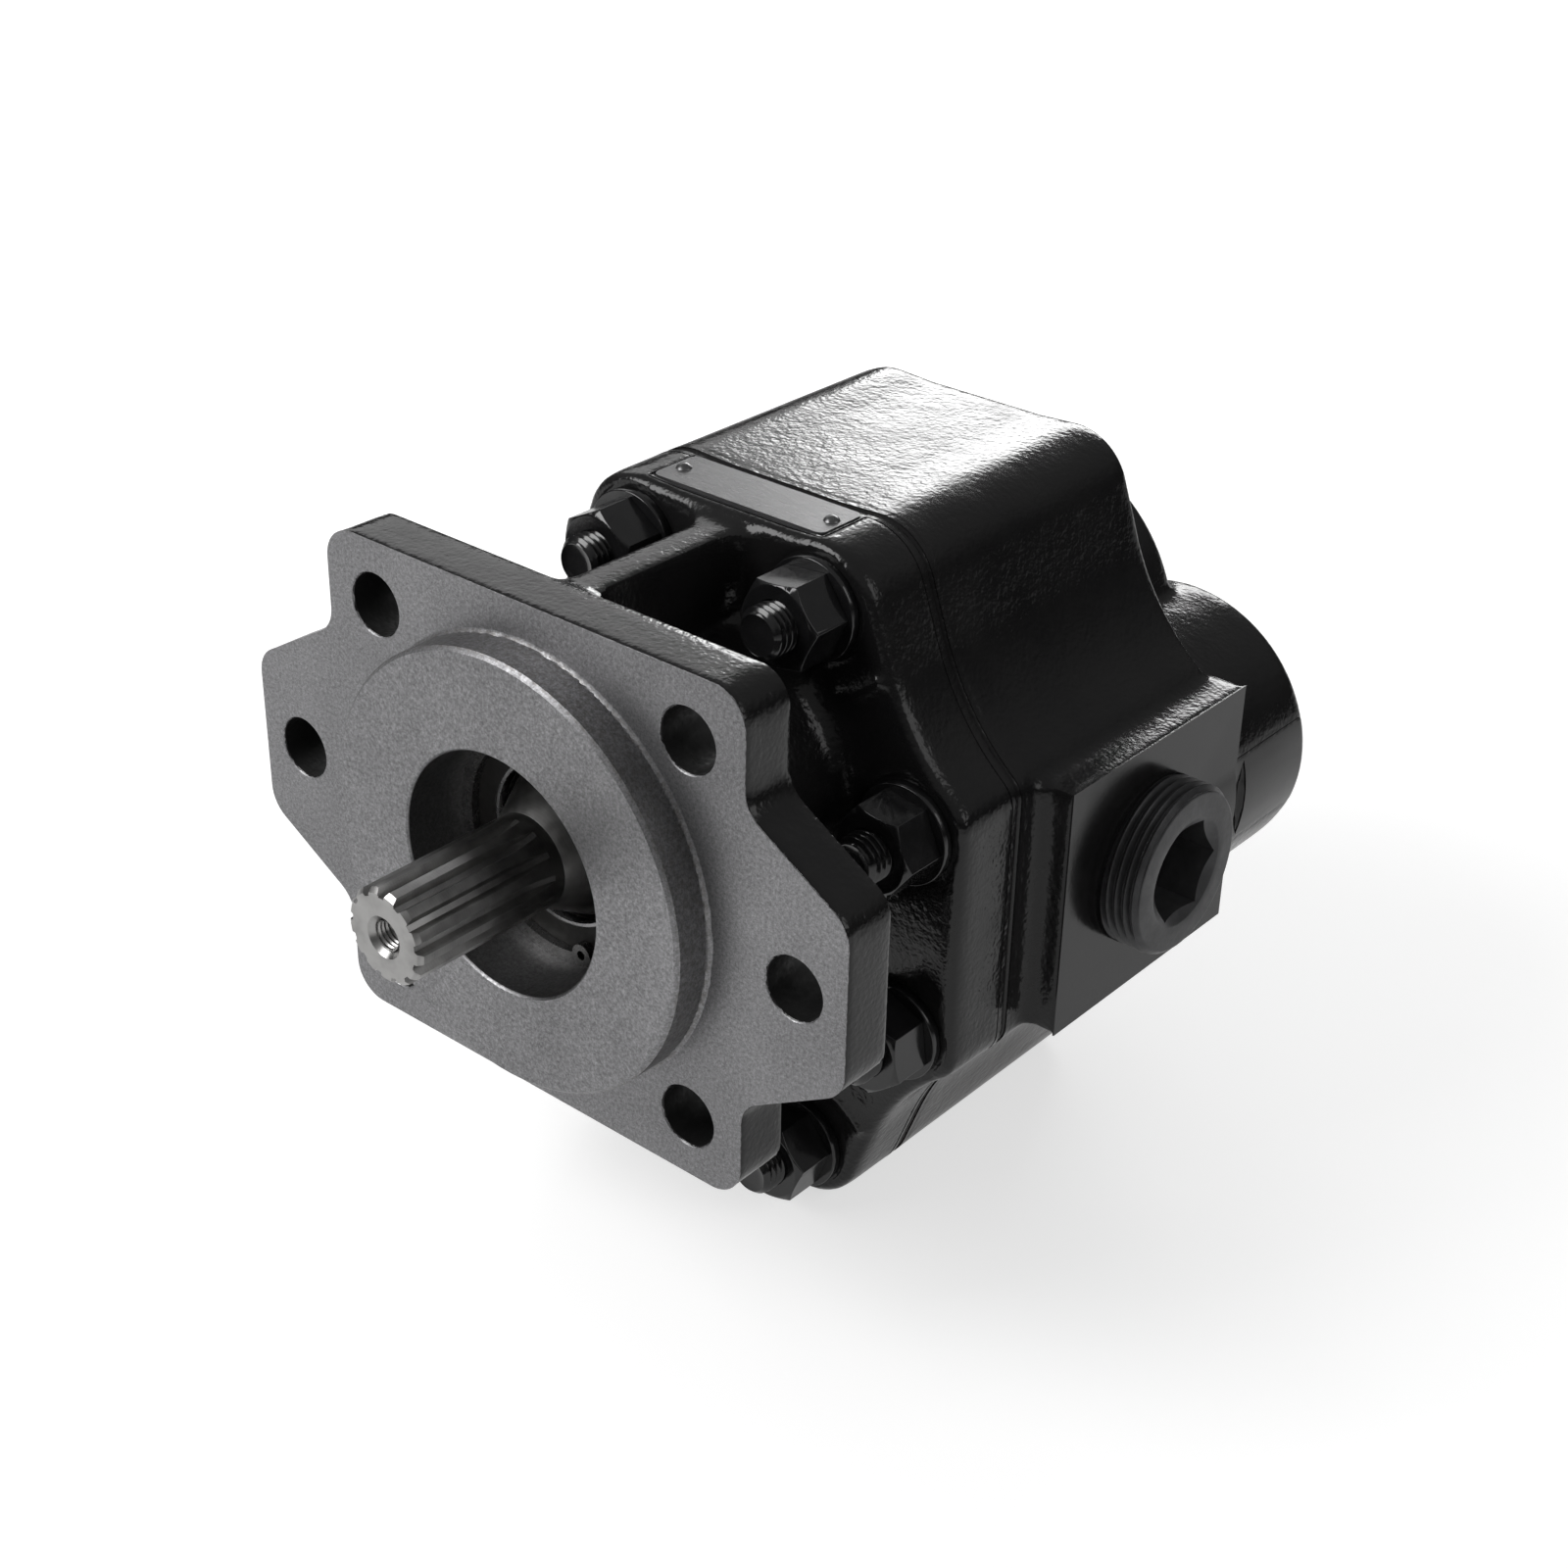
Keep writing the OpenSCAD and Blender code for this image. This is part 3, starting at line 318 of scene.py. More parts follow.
def make_steel(name, tone, rough):
    """Ground or hobbed steel with fine lines that run round the axis."""
    s = Shader(name)
    y = s.split(s.place)["Y"]
    wander = s.noise(260, detail=3.0, rough=0.6)
    lines = s.math("SINE", s.math("MULTIPLY", s.layers((y, 1.0), (wander, 0.2 * MM)), 9000))
    smear = s.noise(150, detail=3.0, rough=0.55)
    value = s.layers((smear, 1.0), (lines, 0.025))
    dark = tuple(c * 0.72 for c in tone)
    light = tuple(c * 1.15 for c in tone)
    colour = s.ramp(value, [(0.3, dark), (0.52, tone), (0.75, light)])
    dull = s.noise(300, detail=3.0, rough=0.6)
    roughness = s.spread(dull, 0.3, 0.7, rough - 0.02, rough + 0.05)
    height = s.layers((value, 0.3), (s.noise(3500), 0.5))
    return s.finish(colour, roughness, height, 0.005, metallic=1.0)


def make_small_part(name, tone, rough, scale, relief, metallic=0.0, specular=0.3):
    """A painted, blackened or moulded small part: slight dust, rubbed high spots and a fine skin."""
    s = Shader(name)
    dust = s.noise(140, detail=4.0, rough=0.62)
    dark = tuple(c * 0.7 for c in tone)
    light = tuple(c * 1.5 for c in tone)
    colour = s.ramp(dust, [(0.3, dark), (0.55, tone), (0.8, light)])
    rubbed = s.noise(scale * 0.5, detail=4.0, rough=0.6)
    roughness = s.spread(rubbed, 0.3, 0.7, rough - 0.04, rough + 0.07)
    height = s.layers((s.noise(scale, detail=3.0, rough=0.6), 1.0), (s.noise(scale * 3), 0.4))
    return s.finish(colour, roughness, height, relief, metallic=metallic, specular=specular)


def make_plate_material():
    s = Shader("nameplate_metal")
    brushed = s.noise(180, detail=3.0, rough=0.6, vector=s.stretched((1.0, 60.0, 30.0)))
    dull = s.noise(60, detail=4.0, rough=0.6)
    value = s.layers((brushed, 0.6), (dull, 0.4))
    colour = s.ramp(value, [(0.3, (0.045, 0.045, 0.046)), (0.7, (0.10, 0.10, 0.102))])
    return s.finish(colour, s.spread(brushed, 0.3, 0.7, 0.24, 0.4), value, 0.04, metallic=0.35)


materials = {
    "cover": make_cover_material(),
    "body": make_body_material(),
    "shaft": make_steel("shaft_ground_steel", (0.36, 0.356, 0.35), 0.3),
    "gear": make_steel("gear_hardened_steel", (0.34, 0.34, 0.34), 0.3),
    "block": make_steel("block_aluminium_alloy", (0.55, 0.55, 0.56), 0.34),
    "bush": make_steel("bush_bronze_back", (0.36, 0.33, 0.29), 0.3),
    "seal_steel": make_steel("seal_case_steel", (0.5, 0.5, 0.5), 0.26),
    "rubber": make_small_part("seal_black_rubber", (0.014, 0.013, 0.012), 0.5, 900, 0.04),
    "ring": make_small_part("ring_spring_steel", (0.22, 0.218, 0.215), 0.24, 1500, 0.01, metallic=1.0),
    "plastic": make_small_part("backup_ring_plastic", (0.55, 0.53, 0.48), 0.45, 800, 0.03),
    "fastener": make_small_part("fastener_gloss_black", (0.01, 0.01, 0.0105), 0.14, 420, 0.02, specular=0.6),
    "plug": make_small_part("plug_satin_steel", (0.058, 0.058, 0.06), 0.36, 1400, 0.02, metallic=0.35),
    "plate": make_plate_material(),
    "rivet": make_small_part("rivet_steel", (0.16, 0.16, 0.162), 0.26, 900, 0.02, metallic=0.8),
}

NODES_OF_MATERIAL = {
    "cover": ["front_cover"],
    "body": ["pump_body"],
    "shaft": ["drive_gear_shaft"],
    "gear": ["driven_gear_shaft", "dowel_pins"],
    "block": ["front_bearing_block", "rear_bearing_block"],
    "bush": ["front_bushes", "rear_bushes"],
    "seal_steel": ["shaft_seal_case", "garter_spring"],
    "rubber": ["shaft_seal_lip", "joint_o_ring", "front_pressure_seal", "rear_pressure_seal"],
    "ring": ["retaining_ring"],
    "plastic": ["front_backup_ring", "rear_backup_ring"],
    "fastener": ["cover_studs", "stud_nuts", "stud_washers"],
    "plug": ["right_port_plug", "left_port_plug"],
    "plate": ["nameplate"],
    "rivet": ["nameplate_rivets"],
}
for key, names in NODES_OF_MATERIAL.items():
    for name in names:
        slots = nodes[name].data.materials
        slots.clear()
        slots.append(materials[key])


# Pieces that the scene adds


def place_piece(name, mesh, sharp, body, material, replaced):
    """Shades a mesh smooth up to an angle and places it. It rides on a body and may stand for CAD nodes."""
    mesh.polygons.foreach_set("use_smooth", [True] * len(mesh.polygons))
    mesh.set_sharp_from_angle(angle=math.radians(sharp))
    mesh.materials.append(material)
    piece = bpy.data.objects.new(name, mesh)
    bpy.context.scene.collection.objects.link(piece)
    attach(piece, body)
    if replaced:
        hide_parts(*replaced)


def box_mm(node):
    low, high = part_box(node)
    return [v * 1000 for v in low], [v * 1000 for v in high]


def stud_places():
    for side in (-1, 1):
        for up in (-1, 1):
            for x, z in STUD_OFFSETS:
                yield side * x, MID_Z + up * z


# Threads and fasteners


# The studs' thread and chamfers, in millimetres
STUD_R, STUD_THREAD_DEPTH, STUD_THREAD_LENGTH = 6.0, 1.0, 22
STUD_TIP_R, STUD_SHANK_R = 4.7, 5.1

# The port plugs, in millimetres
PLUG_CREST_R, PLUG_THREAD_DEPTH = 20.95, 1.35
PLUG_INNER_R, PLUG_FACE_R = 18.6, 19.75
SOCKET_MOUTH_R, SOCKET_HALF_FLATS, SOCKET_DEPTH, SOCKET_FLOOR_R = 13.3, 11.0, 12.0, 10.7

# The thread in the rear ports and the one in the shaft's end, in millimetres
PORT_ROOT_R, PORT_THREAD_DEPTH, PORT_THREAD_LENGTH, PORT_THREAD_FADE = 19.64, 0.85, 19.5, 1.2
TAP_ROOT_R, TAP_THREAD_DEPTH, TAP_LENGTH, TAP_FADE = 3.43, 0.42, 14, 0.8


def add_turned_piece(name, grids, body, material, replaced=(), sharp=35.0):
    """A piece of grids, each of which is a list of rows of points in millimetres."""
    points, faces = [], []
    for rows in grids:
        first, width = len(points), len(rows[0])
        for row in rows:
            points.extend(row)
        for j in range(len(rows) - 1):
            for i in range(width - 1):
                a = first + j * width + i
                faces.append((a, a + 1, a + width + 1, a + width))
    mesh = bpy.data.meshes.new(name)
    mesh.from_pydata([tuple(c * MM for c in point) for point in points], [], faces)
    work = bmesh.new()
    work.from_mesh(mesh)
    bmesh.ops.remove_doubles(work, verts=work.verts, dist=2 * WELD)
    bmesh.ops.recalc_face_normals(work, faces=work.faces)
    work.to_mesh(mesh)
    work.free()
    place_piece(name, mesh, sharp, body, material, replaced)


def ring(steps, along, radius_at):
    """A row (angle, along, radius) round the axis, with the radius as a function of the angle."""
    angles = [2 * math.pi * i / steps for i in range(steps + 1)]
    return [(angle, along, radius_at(angle)) for angle in angles]


def turned(profile, steps):
    """The rows of a turned surface through the points (along, radius) of a profile."""
    return [ring(steps, along, lambda angle: radius) for along, radius in profile]


# A screw thread's form over one pitch: (share of the pitch, share of the depth), with softened crest and root
THREAD_FORM = [(0.0, 0.04), (0.06, 0.0), (0.12, 0.04), (0.2, 0.22), (0.38, 0.8), (0.45, 0.97), (0.55, 1.0),
               (0.65, 0.97), (0.74, 0.8), (0.92, 0.22)]


def helix(length, pitch, radius_at, steps):
    """Rows that follow a thread's form along its helix, from 0 to length. radius_at gives the radius at a
    share of the thread's depth and a place along the axis, which may lie past either end."""
    rows = []
    for turn in range(-1, math.ceil(length / pitch) + 2):
        for share, deep in THREAD_FORM:
            row = []
            for i in range(steps + 1):
                along = (turn + share + i / steps - 0.5) * pitch
                held = min(max(along, 0.0), length)
                row.append((2 * math.pi * i / steps, held, radius_at(deep, along)))
            rows.append(row)
    return rows


def outer_thread(length, pitch, crest_r, depth, start_r, end_r, steps):
    """A thread on a bolt or plug. It dies into start_r and end_r over the chamfers at its ends."""
    def radius_at(deep, along):
        if along < 0:
            return start_r
        if along > length:
            return end_r
        return min(crest_r - depth * deep, start_r + along, end_r + (length - along))

    return helix(length, pitch, radius_at, steps)


def inner_thread(length, pitch, root_r, depth, fade, steps):
    """A thread in a hole, with fade as its share of the depth at a place along the axis."""
    def radius_at(deep, along):
        held = min(max(along, 0.0), length)
        return root_r - depth * (1.0 - deep) * fade(held)

    return helix(length, pitch, radius_at, steps)


def along_y(rows, x, y, z, way=1):
    """The points of rows round an axis that runs along Y from the point (x, y, z)."""
    return [[(x + radius * math.cos(angle), y + way * along, z + radius * math.sin(angle))
             for angle, along, radius in row] for row in rows]


def along_x(rows, x, y, z, way):
    """The points of rows round an axis that runs along X from the point (x, y, z)."""
    return [[(x + way * along, y + radius * math.cos(angle), z + radius * math.sin(angle))
             for angle, along, radius in row] for row in rows]


def add_studs():
    """Studs whose threaded ends stand out of the nuts, with a shallow dish in the tip."""
    steps = 72
    low, high = box_mm("cover_studs")
    length = high[1] - low[1]
    tip = turned([(0.35, 0.01), (0.35, 2.4), (0.2, 4.4), (0.0, STUD_TIP_R)], steps)
    thread = outer_thread(STUD_THREAD_LENGTH, STUD_PITCH, STUD_R, STUD_THREAD_DEPTH, STUD_TIP_R,
                          STUD_SHANK_R, steps)
    shank = turned([(STUD_THREAD_LENGTH, STUD_SHANK_R), (length - 1, STUD_SHANK_R), (length, 4.4),
                    (length, 0.01)], steps)
    grids = [along_y(rows, x, low[1], z) for x, z in stud_places() for rows in (tip, thread, shank)]
    add_turned_piece("threaded_studs", grids, "housing", materials["fastener"], ["cover_studs"])


def add_plug(name, node, side):
    """Threaded plug with a chamfered end and a hexagon socket whose mouth is countersunk."""
    steps = 96
    low, high = box_mm(node)
    length = high[0] - low[0]
    inner_x = low[0] if side > 0 else high[0]
    edge, sink = length - 0.15, length - 0.2

    def hexagon(angle):
        return SOCKET_HALF_FLATS / math.cos((angle % (math.pi / 3)) - math.pi / 6)

    end = turned([(0.0, r) for r in (0.01, 8, 14, PLUG_INNER_R)], steps)
    thread = outer_thread(edge, PIPE_PITCH, PLUG_CREST_R, PLUG_THREAD_DEPTH, PLUG_INNER_R, PLUG_FACE_R, steps)
    face = turned([(edge, PLUG_FACE_R), (length - 0.02, 19.5), (length, 19.2), (length, 16.0),
                   (length, 13.75), (length - 0.08, 13.5), (sink, SOCKET_MOUTH_R)], steps)
    mouth = [(angle, sink - (SOCKET_MOUTH_R - r) * 0.6, r) for angle, _, r in ring(steps, 0, hexagon)]
    wall = [ring(steps, length - depth, hexagon) for depth in (3.0, 11.4, SOCKET_DEPTH)]
    drilled = ring(steps, length - SOCKET_DEPTH, lambda angle: min(hexagon(angle), SOCKET_FLOOR_R))
    point = turned([(length - 12.2, 9.0), (length - 14.2, 0.01)], steps)
    grids = [along_x(rows, inner_x, SIDE_PORT_Y, MID_Z, side)
             for rows in (end, thread, face + [mouth] + wall + [drilled] + point)]
    add_turned_piece(name, grids, "housing", materials["plug"], [node], sharp=28.0)


def add_port_thread(name, x):
    """The thread that shows inside an open rear port, standing just proud of the bore's wall."""
    low, high = box_mm("pump_body")

    def fade(along):
        return min(1.0, along / PORT_THREAD_FADE, (PORT_THREAD_LENGTH - along) / PORT_THREAD_FADE)

    rows = inner_thread(PORT_THREAD_LENGTH, PIPE_PITCH, PORT_ROOT_R, PORT_THREAD_DEPTH, fade, 96)
    add_turned_piece(name, [along_y(rows, x, high[1] - 0.3, MID_Z, -1)], "housing", materials["body"])


def add_shaft_tap():
    """The thread of the tapped hole in the shaft's end."""
    low, high = box_mm("drive_gear_shaft")

    def fade(along):
        return min(1.0, along / TAP_FADE)

    rows = inner_thread(TAP_LENGTH, TAP_PITCH, TAP_ROOT_R, TAP_THREAD_DEPTH, fade, 48)
    grids = [along_y(rows, 0, low[1] + 0.9, 0)]
    add_turned_piece("shaft_tapped_hole", grids, "drive_gear", materials["shaft"])


def soften(node, width):
    """Small rounded edges on a CAD node, as modifiers, so its own mesh stays as it is."""
    piece = nodes[node]
    weld = piece.modifiers.new("weld", "WELD")
    weld.merge_threshold = WELD
    bevel = piece.modifiers.new("edge", "BEVEL")
    bevel.width = width * MM
    bevel.segments = 2
    bevel.limit_method = "ANGLE"
    bevel.angle_limit = math.radians(30)
    bevel.harden_normals = True


add_studs()
add_plug("right_plug_threaded", "right_port_plug", 1)
add_plug("left_plug_threaded", "left_port_plug", -1)
add_port_thread("right_rear_port_thread", REAR_PORT_X)
add_port_thread("left_rear_port_thread", -REAR_PORT_X)
add_shaft_tap()
soften("stud_nuts", 0.35)
soften("stud_washers", 0.3)
soften("nameplate", 0.2)


# The two castings


AXES = {"x": Vector((1, 0, 0)), "y": Vector((0, 1, 0)), "z": Vector((0, 0, 1))}

# The planes between cast and machined faces, in millimetres
FACE_Y = 0.35
COVER_JOINT_Y = 78.2
BODY_JOINT_Y = 83.0
PAD_X = 76.6
REAR_Y = 191.3
SEAT_X, SEAT_Y, SEAT_Z = 25.2, 63.6, 60.2

# The radius of each round machined zone and where it ends or starts, in millimetres
BORE_ZONE_R, BORE_ZONE_END_Y = 31.0, 60
BOLT_HOLE_ZONE_R, BOLT_HOLE_ZONE_END_Y = 7.9, 14.6
SPOT_FACE_ZONE_R, SPOT_FACE_Y, SPOT_FACE_REACH = 12.2, 61, 0.5
STUD_HOLE_ZONE_R, STUD_HOLE_ZONE_START_Y = 7.5, 60.0
SIDE_PORT_ZONE_R, SIDE_PORT_ZONE_START_X = 22.5, 62.0
REAR_PORT_ZONE_R, REAR_PORT_ZONE_START_Y = 21.5, 160.0

# The hollows in which the skin is left out, in millimetres
COVER_HOLLOW_R, COVER_HOLLOW_START_Y = 30.0, 1.0
CHAMBER_R, CHAMBER_HALF_WIDTH, CHAMBER_END_Y = 36.0, 40, 145

# How the skin is drawn, in millimetres: the size of its faces, the rounds of smoothing and the most wear of
# an edge
VOXEL = 0.8
ROUNDS = 26
MOST_WEAR = 0.3
# The distances from a machined zone at which the smoothing starts and is full
SMOOTH_FROM, SMOOTH_FULL = 0.4, 2.9
# How far the skin sinks under the machined faces, and the distance over which it does
SINK, SINK_OVER = 0.14, 0.6


def tube(p, x, z, r):
    """The distance of points to a tube along Y, in millimetres, below zero inside it."""
    return np.hypot(p[:, 0] - x, p[:, 2] - z) - r


def nearest(zones):
    """The distance to the nearest of several zones, in millimetres, below zero inside one."""
    return np.minimum.reduce(zones)


def cover_crisp(p):
    """Zones of the cover that are machined or meet another piece: the face and pilot, the joint, the bore,
    the bolt holes, the studs' holes and spot faces, and the nameplate's seat."""
    y = p[:, 1]
    bore = np.maximum(tube(p, 0, 0, BORE_ZONE_R), y - BORE_ZONE_END_Y)
    zones = [y - FACE_Y, COVER_JOINT_Y - y, bore]
    behind_flange = y - BOLT_HOLE_ZONE_END_Y
    for side in (-1, 1):
        zones.append(np.maximum(tube(p, side * EAR_HOLE_X, 0, BOLT_HOLE_ZONE_R), behind_flange))
        for up in (-1, 1):
            hole = tube(p, side * SQUARE_HOLE, up * SQUARE_HOLE, BOLT_HOLE_ZONE_R)
            zones.append(np.maximum(hole, behind_flange))
    for x, z in stud_places():
        off_face = np.abs(y - SPOT_FACE_Y) - SPOT_FACE_REACH
        zones.append(np.maximum(tube(p, x, z, SPOT_FACE_ZONE_R), off_face))
        zones.append(np.maximum(tube(p, x, z, STUD_HOLE_ZONE_R), STUD_HOLE_ZONE_START_Y - y))
    seat = np.maximum(np.abs(p[:, 0]) - SEAT_X, SEAT_Z - p[:, 2])
    zones.append(np.maximum(seat, SEAT_Y - y))
    return nearest(zones)


def body_crisp(p):
    """Zones of the body that are milled or meet another piece: the joint, the pads, the rear faces of the
    port bosses, and the side and rear ports."""
    across = np.abs(p[:, 0])
    y = p[:, 1]
    up = p[:, 2] - MID_Z
    side_ports = np.maximum(np.hypot(y - SIDE_PORT_Y, up) - SIDE_PORT_ZONE_R, SIDE_PORT_ZONE_START_X - across)
    rear_ports = np.maximum(np.hypot(across - REAR_PORT_X, up) - REAR_PORT_ZONE_R, REAR_PORT_ZONE_START_Y - y)
    return nearest([y - BODY_JOINT_Y, PAD_X - across, REAR_Y - y, side_ports, rear_ports])


def inside_cover(c):
    """Whether a point lies in the cover's bore, where the skin is left out."""
    return math.hypot(c.x, c.z) < COVER_HOLLOW_R and c.y > COVER_HOLLOW_START_Y


def inside_body(c):
    """Whether a point lies in the closed chamber of the gears, where the skin is left out."""
    reach = min(math.hypot(c.x, c.z), math.hypot(c.x, c.z + GEAR_CENTRES))
    return c.y < CHAMBER_END_Y and reach < CHAMBER_R and abs(c.x) < CHAMBER_HALF_WIDTH


def voxel_skin(name, solid):
    """The solid drawn again in small, even faces, which can be rounded."""
    mesh = bpy.data.meshes.new(name + "_source")
    solid.to_mesh(mesh)
    rough = bpy.data.objects.new(name + "_source", mesh)
    bpy.context.scene.collection.objects.link(rough)
    remesh = rough.modifiers.new("skin", "REMESH")
    remesh.mode = "VOXEL"
    remesh.voxel_size = VOXEL * MM
    skin = bpy.data.meshes.new_from_object(rough.evaluated_get(bpy.context.evaluated_depsgraph_get()))
    bpy.data.objects.remove(rough)
    return skin


def smoothed(points, edges, normals, weight):
    """Rounds off a mesh: hollows fill freely, and edges wear by at most MOST_WEAR."""
    start = points.copy()
    a, b = edges[:, 0], edges[:, 1]
    count = np.bincount(a, minlength=len(points)) + np.bincount(b, minlength=len(points))
    for _ in range(ROUNDS):
        mean = np.empty_like(points)
        for axis in range(3):
            column = points[:, axis]
            mean[:, axis] = np.bincount(a, column[b], len(points)) + np.bincount(b, column[a], len(points))
        mean /= np.maximum(count, 1)[:, None]
        points = points + (mean - points) * (0.5 * weight)[:, None]
        outward = np.einsum("ij,ij->i", points - start, normals)
        short = np.minimum(outward + MOST_WEAR, 0.0)
        points = points - normals * short[:, None]
    return points


def round_skin(skin, crisp):
    """Rounds the skin where it is cast, and sinks it just under the solid's own faces in crisp zones."""
    points = np.empty(len(skin.vertices) * 3)
    skin.vertices.foreach_get("co", points)
    points = points.reshape(-1, 3) / MM
    normals = np.empty(len(points) * 3)
    skin.vertex_normals.foreach_get("vector", normals)
    normals = normals.reshape(-1, 3)
    edges = np.empty(len(skin.edges) * 2, dtype=np.int64)
    skin.edges.foreach_get("vertices", edges)
    away = crisp(points)
    weight = np.clip((away - SMOOTH_FROM) / (SMOOTH_FULL - SMOOTH_FROM), 0.0, 1.0)
    points = smoothed(points, edges.reshape(-1, 2), normals, weight)
    sunk = np.clip((SINK_OVER - away) / SINK_OVER, 0.0, 1.0) * SINK
    points = points - normals * sunk[:, None]
    skin.vertices.foreach_set("co", (points * MM).ravel())


def keep_crisp_faces(solid, crisp, cuts):
    """Cuts the solid's faces along planes (axis, place) and keeps those that lie in a crisp zone."""
    for axis, at in cuts:
        bmesh.ops.bisect_plane(solid, geom=solid.verts[:] + solid.edges[:] + solid.faces[:],
                               plane_co=AXES[axis] * at * MM, plane_no=AXES[axis], dist=1e-7)
    centres = np.array([tuple(f.calc_center_median() / MM) for f in solid.faces])
    outside = crisp(centres) > 0
    bmesh.ops.delete(solid, geom=[f for f, out in zip(solid.faces[:], outside) if out], context="FACES")


def add_casting(name, node, material, crisp, cuts, hidden):
    """A casting with the soft hollows and worn edges of sand casting, and the solid's own crisp faces where
    it is machined. It stands for the CAD node, whose shape and size it keeps."""
    solid = bmesh.new()
    solid.from_mesh(nodes[node].data)
    bmesh.ops.remove_doubles(solid, verts=solid.verts, dist=WELD)
    skin = voxel_skin(name, solid)
    round_skin(skin, crisp)
    final = bmesh.new()
    final.from_mesh(skin)
    lost = [f for f in final.faces if hidden(f.calc_center_median() / MM)]
    bmesh.ops.delete(final, geom=lost, context="FACES")

    keep_crisp_faces(solid, crisp, cuts)
    part = bpy.data.meshes.new(name + "_crisp")
    solid.to_mesh(part)
    final.from_mesh(part)
    whole = bpy.data.meshes.new(name)
    final.to_mesh(whole)
    kept_normals = whole.attributes.get("custom_normal")
    if kept_normals:
        whole.attributes.remove(kept_normals)
    solid.free()
    final.free()
    whole.materials.clear()
    place_piece(name, whole, 32, "housing", material, [node])


add_casting("front_cover_casting", "front_cover", materials["cover"], cover_crisp,
            [("y", FACE_Y), ("y", COVER_JOINT_Y), ("z", SEAT_Z), ("x", SEAT_X), ("x", -SEAT_X),
             ("y", SEAT_Y)], inside_cover)
add_casting("pump_body_casting", "pump_body", materials["body"], body_crisp,
            [("y", BODY_JOINT_Y), ("x", PAD_X), ("x", -PAD_X), ("y", REAR_Y)], inside_body)


# Camera


# Where the photo was taken from: degrees, then metres from the origin along the camera's own axes
AZIMUTH, ELEVATION, ROLL = 39.919, 29.442, 1.224
BACK, RIGHT, UP = 0.534225, 0.053622, 0.015904
# The focal length in pixels of the photo, the photo's width in pixels and the sensor's width in millimetres
FOCAL_PIXELS, PHOTO_PIXELS, SENSOR = 2577.66, 1600, 36


def add_camera():
    azimuth, elevation, roll = (math.radians(v) for v in (AZIMUTH, ELEVATION, ROLL))
    back = Vector((math.sin(azimuth) * math.cos(elevation), -math.cos(azimuth) * math.cos(elevation),
                   math.sin(elevation)))
    right = Vector((math.cos(azimuth), math.sin(azimuth), 0))
    up = back.cross(right)
    right, up = (right * math.cos(roll) + up * math.sin(roll), up * math.cos(roll) - right * math.sin(roll))
    place = back * BACK + right * RIGHT + up * UP
    data = bpy.data.cameras.new("camera")
    data.sensor_width = SENSOR
    data.lens = FOCAL_PIXELS / PHOTO_PIXELS * SENSOR
    data.clip_start = 0.01
    camera = bpy.data.objects.new("camera", data)
    camera.matrix_world = Matrix(((right.x, up.x, back.x, place.x), (right.y, up.y, back.y, place.y),
                                  (right.z, up.z, back.z, place.z), (0, 0, 0, 1)))
    bpy.context.scene.collection.objects.link(camera)
    bpy.context.scene.camera = camera


add_camera()


# Floor and light


# The floor lies just under the lowest nut
FLOOR_Z = -110.1
FLOOR_REACH = 4

# Name, place, the point it faces, width and height in metres, and power in watts of each lamp
SOFTBOXES = [
    ("softbox_rear", (-0.90, 0.85, 0.60), (0, 0.1, 0), (0.8, 0.6), 1.6),
    ("softbox_rear_bright", (-0.474, 1.098, 0.383), (0, 0.1, 0), (0.57, 0.34), 4.4),
    ("softbox_front", (-0.55, -0.75, 0.75), (0, 0, 0), (0.7, 0.7), 10),
    ("softbox_right", (1.05, 0.35, 0.60), (0, 0.08, 0), (0.6, 0.6), 1.6),
]


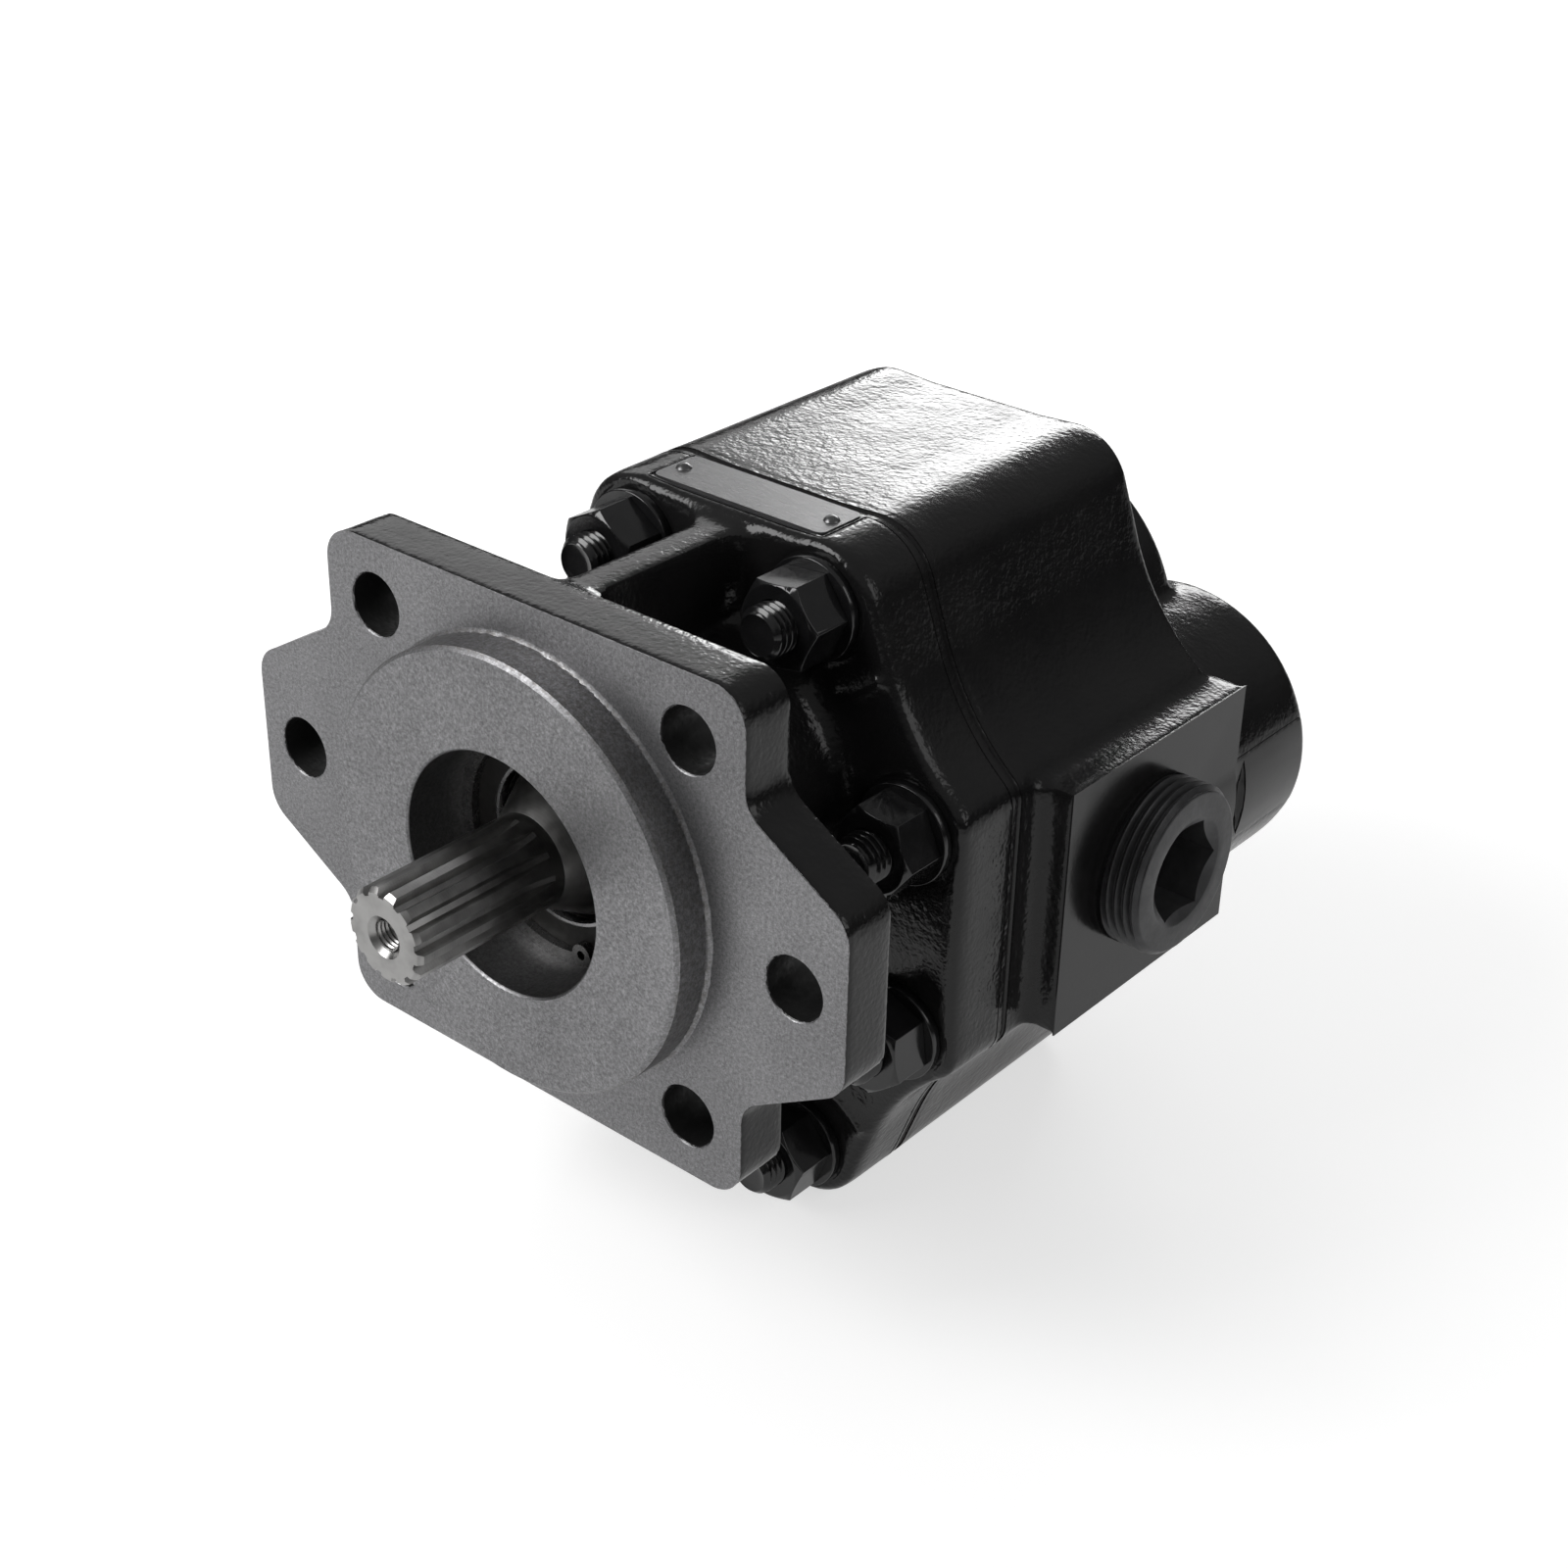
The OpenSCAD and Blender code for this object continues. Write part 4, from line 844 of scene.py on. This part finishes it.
def add_floor():
    """A floor that looks white to the camera, greyer only in the soft shadow near the pump."""
    corners = [(-1, -1), (1, -1), (1, 1), (-1, 1)]
    mesh = bpy.data.meshes.new("floor")
    mesh.from_pydata([(x * FLOOR_REACH, y * FLOOR_REACH, 0) for x, y in corners], [], [(0, 1, 2, 3)])
    floor = bpy.data.objects.new("floor", mesh)
    floor.location.z = FLOOR_Z * MM
    bpy.context.scene.collection.objects.link(floor)
    material = bpy.data.materials.new("floor_white")
    g = Graph(material, "Object")
    camera, mirrored = g.rays()
    far = g.length(g.place)
    # A mirror sees a grey table that fades to nearly black a metre away
    table = g.spread(far, 0.3, 1.0, 0.35, 0.02, smooth=True)
    white = g.spread(far, 0.3, 0.9, 0.62, 1.0, smooth=True)
    shown = g.both(g.either(camera, mirrored), g.mix(camera, table, white))
    glow = g.add("Emission")
    g.link(shown, glow.inputs["Strength"])
    diffuse = g.add("BsdfDiffuse")
    g.link((0.6, 0.6, 0.6, 1), diffuse.inputs["Color"])
    total = g.add("AddShader")
    g.link(diffuse.outputs[0], total.inputs[0])
    g.link(glow.outputs[0], total.inputs[1])
    g.link(total.outputs[0], g.add("OutputMaterial").inputs["Surface"])
    mesh.materials.append(material)


def add_world():
    """A studio that looks white to the camera, lights softly, and has walls that a mirror sees as dark at
    the horizon and grey higher up."""
    world = bpy.data.worlds.new("studio")
    g = Graph(world, "Generated")
    camera, mirrored = g.rays()
    room = g.spread(g.split(g.place)["Z"], 0.0, 0.6, 0.02, 0.24, smooth=True)
    light = g.math("MULTIPLY_ADD", g.math("SUBTRACT", 1.0, mirrored), 0.28, g.both(mirrored, room))
    background = g.add("Background")
    g.link((1, 1, 1, 1), background.inputs["Color"])
    g.link(g.mix(camera, light, 1.0), background.inputs["Strength"])
    g.link(background.outputs[0], g.add("OutputWorld").inputs["Surface"])
    bpy.context.scene.world = world


def add_softbox(name, place, target, size, power):
    data = bpy.data.lights.new(name, "AREA")
    data.shape = "RECTANGLE"
    data.size, data.size_y = size
    data.energy = power
    lamp = bpy.data.objects.new(name, data)
    lamp.location = place
    lamp.rotation_euler = (Vector(target) - Vector(place)).to_track_quat("-Z", "Y").to_euler()
    bpy.context.scene.collection.objects.link(lamp)


add_floor()
add_world()
for softbox in SOFTBOXES:
    add_softbox(*softbox)
bpy.context.scene.view_settings.view_transform = "Standard"
